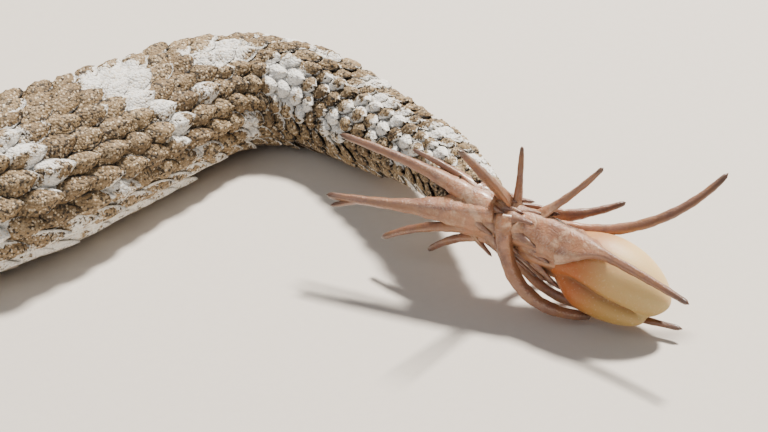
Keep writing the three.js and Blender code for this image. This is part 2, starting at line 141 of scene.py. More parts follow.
@dataclass(frozen=True)
class Route:
    """The centreline in plan and its height above the floor."""

    origin_heading: float = 37.5
    # length in mm and turn in degrees of each bend, from the origin back and from it forwards
    tail_bends: tuple = ((10, 14), (24, 0), (21, -107), (37, -18))
    body_bends: tuple = ((60, -36), (54, 0), (310, -268), (66, -94), (50, -92), (44, -88), (56, 0))
    ease: float = 6.0  # how far each side of a place its heading is averaged over
    samples: int = 9
    step: float = 0.5
    spare: float = 4.0  # how far the route runs on past the snout and the tail
    # s where a climb starts and ends, and its height
    neck_climb: tuple = (-478.0, -588.0, 34.0)
    tail_climb: tuple = (52.0, 92.0, 7.6)

    @property
    def tail(self) -> float:
        """Returns s at the root of the lure."""
        return float(sum(length for length, _ in self.tail_bends))

    @property
    def snout(self) -> float:
        """Returns s at the tip of the snout."""
        return -float(sum(length for length, _ in self.body_bends))

    def heading(self, s: Array) -> Array:
        """Finds which way the snake lies.

        Args:
            s: Place along the snake.

        Returns:
            The heading there in radians, eased from bend to bend.
        """
        marks, turns = [0.0], [self.origin_heading]
        for length, turn in self.tail_bends:
            marks.append(marks[-1] + length)
            turns.append(turns[-1] + turn)
        for length, turn in self.body_bends:
            marks.insert(0, marks[0] - length)
            turns.insert(0, turns[0] + turn)
        offsets = np.linspace(-self.ease, self.ease, self.samples)
        bent = [np.interp(s + offset, marks, turns) for offset in offsets]
        return np.radians(np.mean(bent, axis=0))

    def plan(self, s: Array) -> tuple[Array, Array]:
        """Finds the centreline in plan.

        Args:
            s: Place along the snake.

        Returns:
            Its x and y there.
        """
        there = []
        for sign, length in ((-1, -self.snout), (1, self.tail)):
            count = int((length + self.spare) / self.step)
            heading = self.heading(sign * (np.arange(count) + 0.5) * self.step)
            moves = sign * self.step * np.stack([np.cos(heading), np.sin(heading)])
            there.append(np.cumsum(moves, axis=1))
        back, on = there
        path = np.concatenate([back[:, ::-1], np.zeros((2, 1)), on], axis=1)
        at = (np.arange(path.shape[1]) - back.shape[1]) * self.step
        return np.interp(s, at, path[0]), np.interp(s, at, path[1])

    def lift(self, s: Array) -> Array:
        """Finds how high the belly lies.

        Args:
            s: Place along the snake.

        Returns:
            Its height above the floor there.
        """
        return sum(
            height * smooth((s - start) / (end - start))
            for start, end, height in (self.neck_climb, self.tail_climb)
        )

    def frame(self, s: Array) -> tuple[Array, Array, Array]:
        """Finds the frame in which a section lies.

        Args:
            s: Place along the snake.

        Returns:
            The middle of the belly there, and the directions to the left and up.
        """
        heading = self.heading(s)
        x, y = self.plan(s)
        slope = (self.lift(s + 1) - self.lift(s - 1)) / 2
        flat = np.zeros_like(x)
        left = np.stack([-np.sin(heading), np.cos(heading), flat], -1)
        up = unit(np.stack([-slope * np.cos(heading), -slope * np.sin(heading), flat + 1], -1))
        return np.stack([x, y, self.lift(s)], -1), left, up


@dataclass(frozen=True)
class Swelling:
    """A soft rise of the head's skin, in the head's own frame."""

    height: float
    middle: tuple  # x and z
    reach: tuple

    def at(self, x: Array, z: Array) -> Array:
        """Returns how high it stands at x and z."""
        (x0, z0), (wide, tall) = self.middle, self.reach
        return self.height * bell(x - x0, wide) * bell(z - z0, tall)


@dataclass(frozen=True)
class Head:
    """The head's own forms, with x from the nape to the snout and z up from the throat."""

    length: float = 36.0
    # x, half width, crown, throat and widest line
    sections: tuple = (
        (-6, 8.9, 15.6, 0.2, 7.3), (0.15, 8.7, 15.2, 0.3, 7.0), (3, 10.0, 15.2, 0.2, 6.6),
        (6.5, 12.2, 15.6, 0.1, 6.0), (10, 13.4, 16.0, 0, 5.8), (14, 13.2, 16.2, 0, 5.8),
        (18, 12.0, 16.3, 0, 6.0), (22, 10.6, 16.1, 0.1, 6.2), (25, 9.7, 15.4, 0.2, 6.2),
        (28, 8.8, 14.3, 0.5, 6.1), (31, 7.8, 13.2, 0.9, 6.0), (33.4, 6.5, 12.2, 1.6, 6.0),
        (34.9, 5.1, 11.2, 2.5, 6.1), (35.8, 3.4, 10.0, 3.7, 6.4), (36.2, 1.6, 8.3, 5.2, 6.7),
        (36.3, 0.2, 7.0, 6.6, 6.8),
    )
    square: float = 2.6  # power of its section's outline, 2 for a round one
    mouth_front: float = 5.3  # height of the mouth line at the snout, lowest place and corner
    mouth_under: float = 4.5
    mouth_corner: float = 6.3
    corner_at: float = 9.5
    under_at: float = 24.0
    # x, distance from the middle, and z
    eye: tuple = (22.8, 8.2, 11.0)
    eye_radius: float = 2.2
    nostril: tuple = (32.8, 5.6, 10.4)
    brow: tuple = (22.2, 7.5, 14.0)
    brow_swelling: Swelling = Swelling(1.3, (22.2, 14.6), (4.2, 1.7))
    snout_ridge: Swelling = Swelling(0.45, (28, 12.6), (4.5, 1.2))
    below_eye: Swelling = Swelling(0.35, (22.8, 7.4), (4.0, 1.2))
    cheek: Swelling = Swelling(0.5, (9, 7.5), (4.5, 3.5))
    lip_height: float = 0.28
    mouth_depth: float = 0.6
    socket_depth: float = 1.1
    socket_reach: tuple = (2.9, 2.6)
    nostril_depth: float = 1.3

    def mouth(self, x: Array) -> Array:
        """Finds the mouth line.

        Args:
            x: Distance ahead of the nape.

        Returns:
            The line's height there.
        """
        ahead = np.maximum(x - self.under_at, 0) / (self.length - self.under_at)
        behind = np.clip((self.under_at - x) / (self.under_at - self.corner_at), 0, 1.2)
        front_rise = (self.mouth_front - self.mouth_under) * ahead**2
        return self.mouth_under + front_rise + (self.mouth_corner - self.mouth_under) * behind**2

    def relief(self, x: Array, y: Array, z: Array) -> Array:
        """Finds the relief of lips, brow, eye socket, nostril and cheek.

        Args:
            x: Distance ahead of the nape.
            y: Distance to the left.
            z: Height.

        Returns:
            How far the skin stands out from the plain head there, in mm.
        """
        side = np.abs(y)
        gape = z - self.mouth(x)
        jaw = smooth((x - self.corner_at) / 2.0)
        lips = self.lip_height * (bell(gape - 1.0, 0.8) + bell(gape + 1.0, 0.8))
        lips = lips - self.mouth_depth * bell(gape, 0.3)
        above = self.brow_swelling.at(x, z) * bell(side - self.brow[1], 2.0)
        above = above + self.snout_ridge.at(x, z)
        (ex, _, ez), (wide, tall) = self.eye, self.socket_reach
        from_eye = ((x - ex) / wide) ** 2 + ((z - ez) / tall) ** 2
        from_pit = np.hypot(x - self.nostril[0], z - self.nostril[2])
        pit = 0.3 * bell(from_pit - 1.05, 0.4) - self.nostril_depth * bell(from_pit, 0.6)
        flank = self.below_eye.at(x, z) + self.cheek.at(x, z) + pit
        flank = flank - self.socket_depth * np.exp(-(from_eye**2))
        return jaw * lips + above + (side > 3) * flank


@dataclass(frozen=True)
class Surface:
    """The snake's outside from snout to tail, as points at s and turn."""

    route: Route = field(default_factory=Route)
    head: Head = field(default_factory=Head)
    # s and the body's half width there
    girth: tuple = (
        (-640, 8.6), (-604, 8.6), (-570, 9.6), (-500, 12.8), (-410, 15.8), (-310, 17.3), (-210, 17),
        (-120, 15.2), (-50, 12.4), (0, 10.6), (15, 9.5), (30, 8.5), (45, 7.2), (60, 5.9), (75, 4.7),
        (92, 3.6), (96, 3.3),
    )
    belly_drop: float = 0.86  # how far belly and back lie from the middle, in half widths
    back_rise: float = 1.02
    soft_edge: float = 0.5  # how softly the belly's flat turns into the flank, in mm
    nape_blend: float = 4.0  # how far each side of the nape the head turns into the body
    body_depth: float = 0.75  # how far the skin lies inside the outside of its scales
    head_depth: float = 0.3
    tail_depth: float = 0.95

    @property
    def nape(self) -> float:
        """Returns s at the nape."""
        return self.route.snout + self.head.length

    def half(self, s: Array) -> Array:
        """Returns the half width of the body at s."""
        return read(self.girth, s)

    def depth(self, s: Array) -> Array:
        """Finds how thick the coat is.

        Args:
            s: Place along the snake.

        Returns:
            How deep the skin lies under the outside there.
        """
        marks = (self.nape - 6, self.nape + 10, -60, 0, 60, self.route.tail)
        deep = (self.head_depth, 0.5, self.body_depth, self.tail_depth, 0.75, 0.5)
        return np.interp(s, marks, deep)

    def local(self, s: Array, turn: Array, out: Array) -> tuple[Array, Array]:
        """Gives the section's own coordinates.

        Args:
            s: Place along the snake.
            turn: Place round it.
            out: How far outside the plain surface, in mm.

        Returns:
            The place to the left, and the height above the belly line.
        """
        side, top = np.sin(turn), np.cos(turn)
        half = self.half(s)
        level = self.belly_drop * half
        y_body = (half + out) * side
        round_z = np.where(top > 0, half * self.back_rise + out, half + out) * top
        floor = -level - out
        gap = round_z - floor
        z_body = level + floor + (gap + np.sqrt(gap**2 + self.soft_edge**2)) / 2
        x = self.nape - s
        columns = np.array(self.head.sections, float).T
        wide, crown, throat, widest = (
            eased_table(tuple(zip(columns[0], column)), x) for column in columns[1:]
        )
        power = self.head.square
        fuller = (np.abs(side) ** power + np.abs(top) ** power) ** (-1 / power)
        tall = np.where(top > 0, crown - widest, widest - throat)
        y_head = (wide + out) * side * fuller
        z_head = widest + (tall + out) * top * fuller
        extra = self.head.relief(x, y_head, z_head)
        across, over = y_head / wide**2, (z_head - widest) / np.maximum(tall, 0.2) ** 2
        reach = np.hypot(across, over) + 1e-9
        y_head = y_head + extra * across / reach
        z_head = z_head + extra * over / reach
        share = smooth((x + self.nape_blend) / (2 * self.nape_blend))
        return y_body + (y_head - y_body) * share, z_body + (z_head - z_body) * share

    def point(self, s: Array, turn: Array, out: Array) -> Array:
        """Finds points of the model.

        Args:
            s: Place along the snake.
            turn: Place round it.
            out: How far outside the plain surface, in mm.

        Returns:
            The points, in mm.
        """
        s, turn, out = np.broadcast_arrays(s, turn, out)
        floor, left, up = self.route.frame(s)
        y, z = self.local(s, turn, out)
        return floor + left * y[..., None] + up * z[..., None]

    def stretch(self, s: Array, turn: Array) -> Array:
        """Finds how much room there is round the body.

        Args:
            s: Place along the snake.
            turn: Place round it.

        Returns:
            The length of one radian there, in mm.
        """
        nudge = 0.02
        y0, z0 = self.local(s, turn - nudge, 0 * s)
        y1, z1 = self.local(s, turn + nudge, 0 * s)
        return np.maximum(np.hypot(y1 - y0, z1 - z0) / (2 * nudge), 0.6)

    def lengthen(self, s: Array, turn: Array) -> Array:
        """Finds how much longer the surface is than the centreline.

        Args:
            s: Place along the snake.
            turn: Place round it.

        Returns:
            The surface's length for one mm of s there, over 1 where it slopes.
        """
        nudge = 0.05
        y0, z0 = self.local(s - nudge, turn, 0 * s)
        y1, z1 = self.local(s + nudge, turn, 0 * s)
        return np.clip(np.hypot(1, np.hypot(y1 - y0, z1 - z0) / (2 * nudge)), 1, 6)

    def unwrap(self, s: Array, turn: Array) -> tuple[Array, Array]:
        """Returns a place on the skin's unwrap, which gives head and tail more room."""
        marks = (self.route.snout - 1, self.nape + 8, -45, self.route.tail + 1)
        return np.interp(s, marks, (0.006, 0.27, 0.70, 0.994)), 0.5 + 0.98 * turn / (2 * math.pi)


@dataclass
class Form:
    """A mesh in the making: points, faces, and what its points carry."""

    points: list = field(default_factory=list)
    faces: list = field(default_factory=list)
    marks: list = field(default_factory=list)
    corners: list = field(default_factory=list)
    count: int = 0

    def add(self, points: Array, faces: Array, marks: Array, corners: Array) -> None:
        """Adds a part.

        Args:
            points: Its points in mm, n by 3.
            faces: Their indices, one row a face.
            marks: What the points carry, n by 4.
            corners: The place on the unwrap of each corner of each face, by 2.
        """
        start = self.count
        self.points.append(points.reshape(-1, 3))
        self.marks.append(marks.reshape(-1, 4))
        self.count += len(self.points[-1])
        self.join(start, faces, corners)

    def join(self, start: int, faces: Array, corners: Array) -> None:
        """Adds faces whose indices count from the point start, and their corners' places."""
        self.faces.append(faces + start)
        self.corners.append(corners.reshape(-1, 2))

    def build(
        self, name: str, material: bpy.types.Material, mapped: bool = True
    ) -> bpy.types.Object:
        """Makes the object.

        Args:
            name: The object's name.
            material: Its finish.
            mapped: Whether it keeps its places on the unwrap.

        Returns:
            The object, linked to the scene.
        """
        mesh = bpy.data.meshes.new(name)
        points = np.concatenate(self.points) * MM
        sizes = np.concatenate([np.full(len(f), f.shape[1]) for f in self.faces])
        corners = np.concatenate([f.ravel() for f in self.faces])
        mesh.vertices.add(len(points))
        mesh.vertices.foreach_set("co", points.ravel().astype(np.float32))
        mesh.loops.add(len(corners))
        mesh.loops.foreach_set("vertex_index", corners.astype(np.int32))
        mesh.polygons.add(len(sizes))
        starts = np.concatenate([[0], np.cumsum(sizes)[:-1]])
        mesh.polygons.foreach_set("loop_start", starts.astype(np.int32))
        mesh.update(calc_edges=True)
        mesh.polygons.foreach_set("use_smooth", np.ones(len(sizes), bool))
        marks = mesh.attributes.new("marks", "FLOAT_COLOR", "POINT")
        marks.data.foreach_set("color", np.concatenate(self.marks).ravel().astype(np.float32))
        if mapped:
            unwrap = mesh.uv_layers.new(name="OFBake")
            unwrap.uv.foreach_set("vector", np.concatenate(self.corners).ravel().astype(np.float32))
        mesh.materials.append(material)
        mesh.validate()
        piece = bpy.data.objects.new(name, mesh)
        bpy.context.scene.collection.objects.link(piece)
        return piece


def tube_faces(rings: int, sides: int, closed: bool = True) -> Array:
    """Numbers the four-sided faces of a grid of points.

    Args:
        rings: How many rows it has.
        sides: How many points a row has.
        closed: Whether each row is joined round.

    Returns:
        The faces' points, one row a face.
    """
    r = np.arange(rings - 1)[:, None]
    i = np.arange(sides if closed else sides - 1)[None, :]
    j = (i + 1) % sides
    quad = [r * sides + i, r * sides + j, (r + 1) * sides + j, (r + 1) * sides + i]
    return np.stack(np.broadcast_arrays(*quad), -1).reshape(-1, 4)


def add_tube(form: Form, rings: Array, marks: Array, places: Array) -> None:
    """Adds a closed tube with a cone of faces over each end.

    Args:
        form: The form that it joins.
        rings: Its points, rings by sides by 3, round so that its faces point out.
        marks: What each point carries, rings by sides by 4.
        places: Place on the unwrap, rings by sides + 1 by 2, the last column for the seam.
    """
    count, sides = rings.shape[:2]
    quads = tube_faces(count, sides)
    r, i = np.divmod(np.arange(len(quads)), sides)
    spots = np.stack([places[r, i], places[r, i + 1], places[r + 1, i + 1], places[r + 1, i]], 1)
    form.add(rings, quads, marks, spots)
    start = form.count - count * sides
    for end, flip in ((0, True), (count - 1, False)):
        hub = rings[end].mean(0)
        ring = start + end * sides + np.arange(sides)
        around = np.roll(ring, -1)
        fan = np.stack([np.full(sides, form.count), around, ring], 1)
        fan = fan if flip else fan[:, ::-1]
        spot = np.repeat(places[end, :1], 3 * sides, 0)
        form.add(hub[None], fan - form.count, marks[end].mean(0)[None], spot)


class Slot(Enum):
    """The solid model's material slots."""

    BODY = "body_scales"
    TAIL = "tail_scales"
    HEAD = "head_scales"
    HORN = "horn_scales"
    EYE = "eye"
    LURE = "lure_flesh"
    BULB = "lure_bulb"


class Side(Enum):
    """The two sides of the head."""

    LEFT = -1
    RIGHT = 1

    @property
    def label(self) -> str:
        """Returns the side's name in small letters."""
        return self.name.lower()


@dataclass(frozen=True)
class ScaleShape:
    """One overlapping scale: fixed at the front, free at the back, as shares of its size."""

    along: int  # how many points it has along and across
    across: int
    front: float = 0.55  # its width at the front, and where it is widest
    fullest: float = 0.5
    tip: float = 0.12
    rise: float = 0.8  # how far it slopes up to its free end
    dome: float = 0.45
    keel: float = 0.5
    keel_width: float = 0.16
    swell_from: float = 0.22
    droop: float = 0.4  # how much of the dome is gone at the tip
    lip: float = 0.5  # how thick its edge is
    rough: float = 0.0
    patterned: float = 1.0  # how far the markings run on over one scale

    def grid(self) -> tuple[Array, Array, Array, Array, list]:
        """Gives the template.

        Returns:
            Places along and across it, heights, how far each point lies from the rim (0 to 1), and
            the faces of its top, rim and floor.
        """
        along, across = np.linspace(0, 1, self.along), np.linspace(-1, 1, self.across)
        a, b = np.meshgrid(along, across, indexing="ij")
        swell = self.front + (1 - self.front) * np.sin(np.pi / 2 * np.minimum(a / self.fullest, 1))
        late = np.clip((a - self.fullest) / (1 - self.fullest), 0, 1)
        width = np.where(a < self.fullest, swell, 1 - (1 - self.tip) * late**2.1)
        swollen = smooth((a - self.swell_from) / 0.36)
        swollen = swollen * (1 - self.droop * smooth((a - 0.78) / 0.22))
        body = self.dome * (1 - np.abs(b) ** 2.4) * swollen
        keel = self.keel * bell(b, self.keel_width) * swollen
        high = self.rise * a + body + keel
        inside = (1 - np.abs(b) ** 4) * smooth(a / 0.3) * (1 - 0.75 * smooth((a - 0.8) / 0.2))
        n = self.along * self.across
        index = np.arange(n).reshape(self.along, self.across)
        ring = np.concatenate([index[0], index[1:, -1], index[-1, -2::-1], index[-2:0:-1, 0]])
        rim = n + np.arange(len(ring))
        hub = n + len(ring)
        top = tube_faces(self.along, self.across, closed=False)[:, ::-1]
        skirt = np.stack([ring, rim, np.roll(rim, -1), np.roll(ring, -1)], 1)
        floor = np.stack([rim, np.full(len(ring), hub), np.roll(rim, -1)], 1)
        flat_a, flat_b = a.ravel(), (b * width).ravel()
        pulled_a = 0.5 + (flat_a[ring] - 0.5) * 0.9
        places_a = np.concatenate([flat_a, pulled_a, [0.45]])
        places_b = np.concatenate([flat_b, flat_b[ring] * 0.86, [0.0]])
        lowered = high.ravel()[ring] - self.lip
        heights = np.concatenate([high.ravel(), lowered, [-0.2]])
        inner = np.concatenate([inside.ravel(), 0 * ring, [0.0]])
        return places_a, places_b, heights, inner, [top, skirt, floor]


KEELED = ScaleShape(
    8, 9, front=0.5, rise=0.62, dome=0.28, keel=0.42, keel_width=0.2, lip=0.45, rough=0.02,
    patterned=0.3,
)
OUTERMOST = ScaleShape(
    9, 9, front=0.6, fullest=0.42, tip=0.04, rise=0.85, dome=0.35, keel=0.12, keel_width=0.3,
    lip=0.45, rough=0.01,
)
KNOBBED = ScaleShape(
    14, 12, front=0.5, tip=0.22, rise=0.62, dome=0.6, keel=0.25, keel_width=0.35, rough=0.085
)
BELLY_SCUTE = ScaleShape(
    7, 25, front=0.96, fullest=0.7, tip=0.72, rise=0.55, dome=0.1, keel=0, lip=0.35, patterned=0.0
)
TAIL_SCUTE = ScaleShape(
    7, 9, front=0.9, fullest=0.6, tip=0.45, rise=0.6, dome=0.2, keel=0, lip=0.35, patterned=0.0
)
HEAD_SCALE = ScaleShape(
    6, 7, front=0.6, tip=0.25, rise=0.6, dome=0.5, keel=0.45, keel_width=0.2, lip=0.45, rough=0.05,
    patterned=0.3,
)
LIP_PLATE = ScaleShape(
    6, 6, front=0.93, fullest=0.6, tip=0.86, rise=0.45, dome=0.45, keel=0.0, patterned=0.0
)
CHIN_SCALE = ScaleShape(
    6, 6, front=0.7, tip=0.4, rise=0.55, dome=0.35, keel=0.0, lip=0.4, patterned=0.0
)
EYE_BEAD = ScaleShape(6, 6, front=0.7, tip=0.55, rise=0.25, dome=0.85, keel=0.15, lip=0.6)


@dataclass
class Scales:
    """Many like scales set on the snake's surface."""

    surface: Surface
    markings: "Markings"
    shape: ScaleShape
    seed: int = 1

    def lay(self, form: Form, at: dict) -> None:
        """Adds the scales to a form.

        Args:
            form: The form that they join.
            at: Arrays of equal length: s, turn, long, wide, high (mm), dark, white and under,
                which is how far the scale's foot lies below the plain surface.
        """
        a, b, heights, inner, faces = self.shape.grid()
        rng = np.random.default_rng(self.seed)
        n, m = len(at["s"]), len(a)
        size = {key: np.asarray(value, float)[:, None] for key, value in at.items()}
        sway = rng.normal(0, 1, (n, 4))
        long = size["long"] * (1 + 0.05 * sway[:, :1])
        wide = size["wide"] * (1 + 0.05 * sway[:, 1:2])
        skew = 0.05 * sway[:, 2:3]
        lie = self.surface.lengthen(size["s"][:, 0], size["turn"][:, 0])[:, None]
        s = size["s"] + (a - 0.5) * long / lie
        per = self.surface.stretch(size["s"][:, 0], size["turn"][:, 0])[:, None]
        turn = size["turn"] + (b * wide / 2 + skew * (a - 0.5) * long) / per
        grain = rng.normal(0, 1, (n, m)) * self.shape.rough
        grain[:, -1] = 0
        high = size["high"] * (heights * (1 + 0.13 * sway[:, 3:]) + grain)
        points = self.surface.point(s, turn, high - size["under"])
        run, dark, white = self.shape.patterned, size["dark"], size["white"]
        near = self.markings.white(s, turn, 0.5 + 0 * s)
        rim = 0.55 * run * (1 - inner) * smooth((white + near) / 0.6)
        dark = dark + 0.25 * (self.markings.dark(s, turn) - dark) * run
        white = np.clip(white + (0.65 * (near - white) + rim) * run, 0, 1)
        marks = together(dark, white, inner[None, :], rng.random((n, 1)))
        u, v = self.surface.unwrap(size["s"], size["turn"])
        spot = together(u + (a - 0.5) * PATCH, v + b * PATCH / 2)
        base = np.arange(n)[:, None, None] * m
        top, *others = ((block[None] + base).reshape(-1, block.shape[1]) for block in faces)
        start, spots = form.count, spot.reshape(-1, 2)
        form.add(points, top, marks, spots[top.ravel()])
        for block in others:
            form.join(start, block, spots[block.ravel()])


@dataclass(frozen=True)
class Markings:
    """Saddles of dark scales, and scattered chalk-white ones, over the body."""

    surface: Surface
    saddle_pitch: float = 25.0
    saddle_share: float = 0.5
    fleck_from: float = 1.12  # how high a scale's draw has to be for a white fleck on the body
    stray_from: float = 0.94  # and on the tail
    blotch_edge: float = 2.8  # how wide a blotch's soft edge is, in mm
    # s, turn in degrees (positive to the snake's left) and reach in mm of the tail's blotches
    blotches: tuple = (
        (18, -4, 4.2), (17, -29, 2.4), (20, -49, 1.6), (21, -72, 2.0), (24, -100, 1.8),
        (9, -86, 1.8), (28, -52, 1.4), (38, -6, 3.0), (37, -97, 2.3), (47, -43, 3.6),
        (53, -64, 1.8), (61, -71, 2.3), (67, -8, 2.4), (71, -46, 2.0), (78, -60, 2.2),
        (80, 11, 2.4), (88, 31, 2.4), (64, -36, 1.8), (73, -14, 1.8), (84, -30, 2.0),
        (56, -20, 1.6), (-1, -35, 2.4), (1, -50, 1.8), (1, -66, 1.5), (-6, -91, 2.2),
        (-14, 30, 3.0), (4, 62, 3.2), (12, 95, 2.2), (27, 48, 2.8), (33, 88, 2.2),
        (45, 40, 2.6), (52, 82, 2.0), (60, 30, 2.2), (74, 66, 2.0), (-20, -58, 2.4),
        (-26, 78, 2.6),
    )

    def dark(self, s: Array, turn: Array) -> Array:
        """Finds the dark markings: saddles on the body, a stripe and a crown mark on the head.

        Args:
            s: Place along the snake.
            turn: Place round it.

        Returns:
            How dark it is there, from 0 to 1.
        """
        arc = turn * self.surface.half(s)
        wobble = ripple(s, arc, 11.0, 5) * 2.6
        phase = (s + wobble) / self.saddle_pitch
        bar = np.abs(phase - np.round(phase)) * 2
        on_back = smooth((1.35 - np.abs(turn)) / 0.3)
        saddle = smooth((self.saddle_share + 0.16 - bar) / 0.32) * on_back
        spot = smooth((bar - 0.55) / 0.25) * bell(np.abs(turn) - 1.65, 0.28)
        cross = ripple(s, arc, 6.0, 9) * 0.18
        body = np.clip(saddle * 0.9 + spot * 0.7 + cross, 0, 1)
        fade = smooth((s + 40) / 60)
        tail = np.clip(0.42 + 0.3 * ripple(s, arc, 8.0, 4), 0, 1)
        x = self.surface.nape - s
        y, z = self.surface.local(s, turn, 0 * s)
        stripe = bell(z - 9.6 + 0.12 * (22 - x), 1.9) * smooth((25 - x) / 3)
        stripe = stripe * smooth((np.abs(y) - 5) / 2)
        crown = 0.75 * bell(np.abs(y) - 3.4, 1.8) * bell(x - 9, 8) * (z > 11)
        head = np.clip(stripe + crown + 0.14 + cross, 0, 1)
        body = body * (1 - fade) + tail * fade
        share = smooth((x + 3) / 6)
        return body * (1 - share) + head * share

    def white(self, s: Array, turn: Array, draw: Array) -> Array:
        """Finds the white markings: flecks on the body, blotches on the tail, and the underside.

        Args:
            s: Place along the snake.
            turn: Place round it.
            draw: A random value of the scale's own.

        Returns:
            How white it is there, from 0 to 1.
        """
        arc = turn * self.surface.half(s)
        fleck = smooth((ripple(s, arc, 13.0, 21) * 0.30 + draw - self.fleck_from) / 0.12)
        stray = smooth((ripple(s, arc, 9.0, 21) * 0.35 + draw - self.stray_from) / 0.14)
        low = smooth((np.abs(turn) - 1.75) / 0.45)
        blotch = np.zeros_like(s)
        for at, where, reach in self.blotches:
            off = np.hypot(s - at, (turn - math.radians(where)) * self.surface.half(s) * 1.1)
            depth = reach * (0.85 + 0.85 * draw) + 0.7 - off
            blotch = np.maximum(blotch, smooth(depth / self.blotch_edge))
        on_tail = smooth((s + 22) / 20)
        body = np.maximum(fleck * 0.75, low * (0.35 + 0.5 * draw))
        under = low * (0.45 + 0.5 * draw) * (1 - 0.7 * smooth((s - 22) / 12))
        tail = np.maximum(np.maximum(blotch, stray * 0.66), under)
        return np.clip(body * (1 - on_tail) + tail * on_tail, 0, 1)


class Wire:
    """A socket of a node tree that takes part in arithmetic."""

    def __init__(self, mixture: "Mixture", socket: bpy.types.NodeSocket) -> None:
        """Holds a socket of a mixture's tree."""
        self.mixture = mixture
        self.socket = socket

    def maths(self, operation: str, *others: "Wire | float", clamp: bool = False) -> "Wire":
        """Adds a Math node on this value.

        Args:
            operation: The node's operation.
            others: Its further values.
            clamp: Whether the result is kept from 0 to 1.

        Returns:
            The node's result.
        """
        values = dict(enumerate((self, *others)))
        settings = {"operation": operation, "use_clamp": clamp}
        return self.mixture.node("ShaderNodeMath", settings, values)

    def __add__(self, other: "Wire | float") -> "Wire":
        """Returns the sum."""
        return self.maths("ADD", other)

    __radd__ = __add__

    def __mul__(self, other: "Wire | float") -> "Wire":
        """Returns the product."""
        return self.maths("MULTIPLY", other)

    __rmul__ = __mul__

    def __sub__(self, other: "Wire | float") -> "Wire":
        """Returns the difference."""
        return self.maths("SUBTRACT", other)

    def __rsub__(self, other: float) -> "Wire":
        """Returns other less this value."""
        return self.mixture.node("ShaderNodeMath", {"operation": "SUBTRACT"}, {0: other, 1: self})

    def __truediv__(self, other: "Wire | float") -> "Wire":
        """Returns the quotient."""
        return self.maths("DIVIDE", other)

    def clamped(self) -> "Wire":
        """Returns the value kept from 0 to 1."""
        return self.maths("ADD", 0.0, clamp=True)

    def between(self, low: float, high: float) -> "Wire":
        """Returns an eased step from 0 at low to 1 at high."""
        values = {"Value": self, "From Min": low, "From Max": high}
        return self.mixture.node("ShaderNodeMapRange", {"interpolation_type": "SMOOTHSTEP"}, values)


class Mixture:
    """A material in the making, with a Principled shader."""

    def __init__(self, name: str, **constants: float) -> None:
        """Starts the material.

        Args:
            name: Its name.
            constants: Values set on the shader's own sockets, with _ for a space in a name.
        """
        self.material = bpy.data.materials.new(name)
        self.material.use_nodes = True
        self.tree = self.material.node_tree
        self.shader = self.tree.nodes["Principled BSDF"]
        for key, value in constants.items():
            self.shader.inputs[key.replace("_", " ")].default_value = value

    def node(self, kind: str, settings: dict, values: dict, output: int | str = 0) -> Wire:
        """Adds a node.

        Args:
            kind: The node's type.
            settings: Its own properties, set first.
            values: Its sockets' values or wires, by name or number.
            output: Which output is wanted.

        Returns:
            That output.
        """
        made = self.tree.nodes.new(kind)
        for key, value in settings.items():
            setattr(made, key, value)
        for key, value in values.items():
            if isinstance(value, Wire):
                self.tree.links.new(value.socket, made.inputs[key])
            else:
                made.inputs[key].default_value = value
        return Wire(self, made.outputs[output])

    def mix(self, factor: Wire, first: Wire | tuple, second: Wire | tuple) -> Wire:
        """Mixes two colours.

        Args:
            factor: How much of the second there is.
            first: The first colour.
            second: The second.

        Returns:
            The mixed colour.
        """
        first, second = (c if isinstance(c, Wire) else (*c, 1.0) for c in (first, second))
        values = {"Factor": factor, 6: first, 7: second}
        return self.node("ShaderNodeMix", {"data_type": "RGBA"}, values, 2)

    def layers(self, base: tuple, *coats: tuple[Wire, Wire | tuple]) -> Wire:
        """Lays colours over one another.

        Args:
            base: The lowest colour.
            coats: How much there is of each further colour, and the colour, from the lowest up.

        Returns:
            The colour that shows.
        """
        colour = base
        for factor, coat in coats:
            colour = self.mix(factor, colour, coat)
        return colour

    def marks(self) -> tuple[Wire, Wire, Wire, Wire]:
        """Reads the four values that the mesh's points carry.

        Returns:
            The values, each from 0 to 1.
        """
        source = self.node("ShaderNodeAttribute", {"attribute_name": "marks"}, {}, "Color")
        draw = Wire(self, source.socket.node.outputs["Alpha"])
        parts = self.node("ShaderNodeSeparateColor", {}, {0: source}).socket.node
        return (*(Wire(self, parts.outputs[i]) for i in range(3)), draw)

    def place(self) -> Wire:
        """Returns the place in the model's own frame."""
        return self.node("ShaderNodeTexCoord", {}, {}, "Object")

    def noise(self, size: float, detail: float = 3.0, rough: float = 0.6) -> Wire:
        """Returns noise of about 0 to 1 with lumps of a size in mm."""
        grain = {"Scale": 1 / (size * MM), "Detail": detail, "Roughness": rough}
        return self.node("ShaderNodeTexNoise", {}, {"Vector": self.place(), **grain})

    def cells(self, size: float) -> tuple[Wire, Wire]:
        """Makes round grains.

        Args:
            size: How wide one grain is, in mm.

        Returns:
            The distance from the middle of a grain, and a random draw for each grain.
        """
        values = {"Vector": self.place(), "Scale": 1 / (size * MM)}
        distance = self.node("ShaderNodeTexVoronoi", {}, values)
        kind = Wire(self, distance.socket.node.outputs["Color"])
        return distance, self.node("ShaderNodeSeparateColor", {}, {0: kind})

    def feed(self, **wires: Wire) -> None:
        """Links wires to the shader's sockets, with _ for a space in a name."""
        for key, wire in wires.items():
            self.tree.links.new(wire.socket, self.shader.inputs[key.replace("_", " ")])

    def bump(self, height: Wire, depth: float, strength: float = 1.0) -> None:
        """Feeds the shader's normal from a height, deep by so many mm."""
        values = {"Height": height, "Distance": depth * MM, "Strength": strength}
        self.feed(Normal=self.node("ShaderNodeBump", {}, values))


@dataclass(frozen=True)
class Palette:
    """The colours of one stretch of scales."""

    base: tuple
    dark: tuple
    light: tuple
    # The next colour paints the fine dark grains, and painted shade at each scale's rim and between
    # its grains.
    shade_and_grain: tuple
    ochre: tuple = (0.26, 0.155, 0.062)
    chalk: tuple = (0.88, 0.85, 0.79)


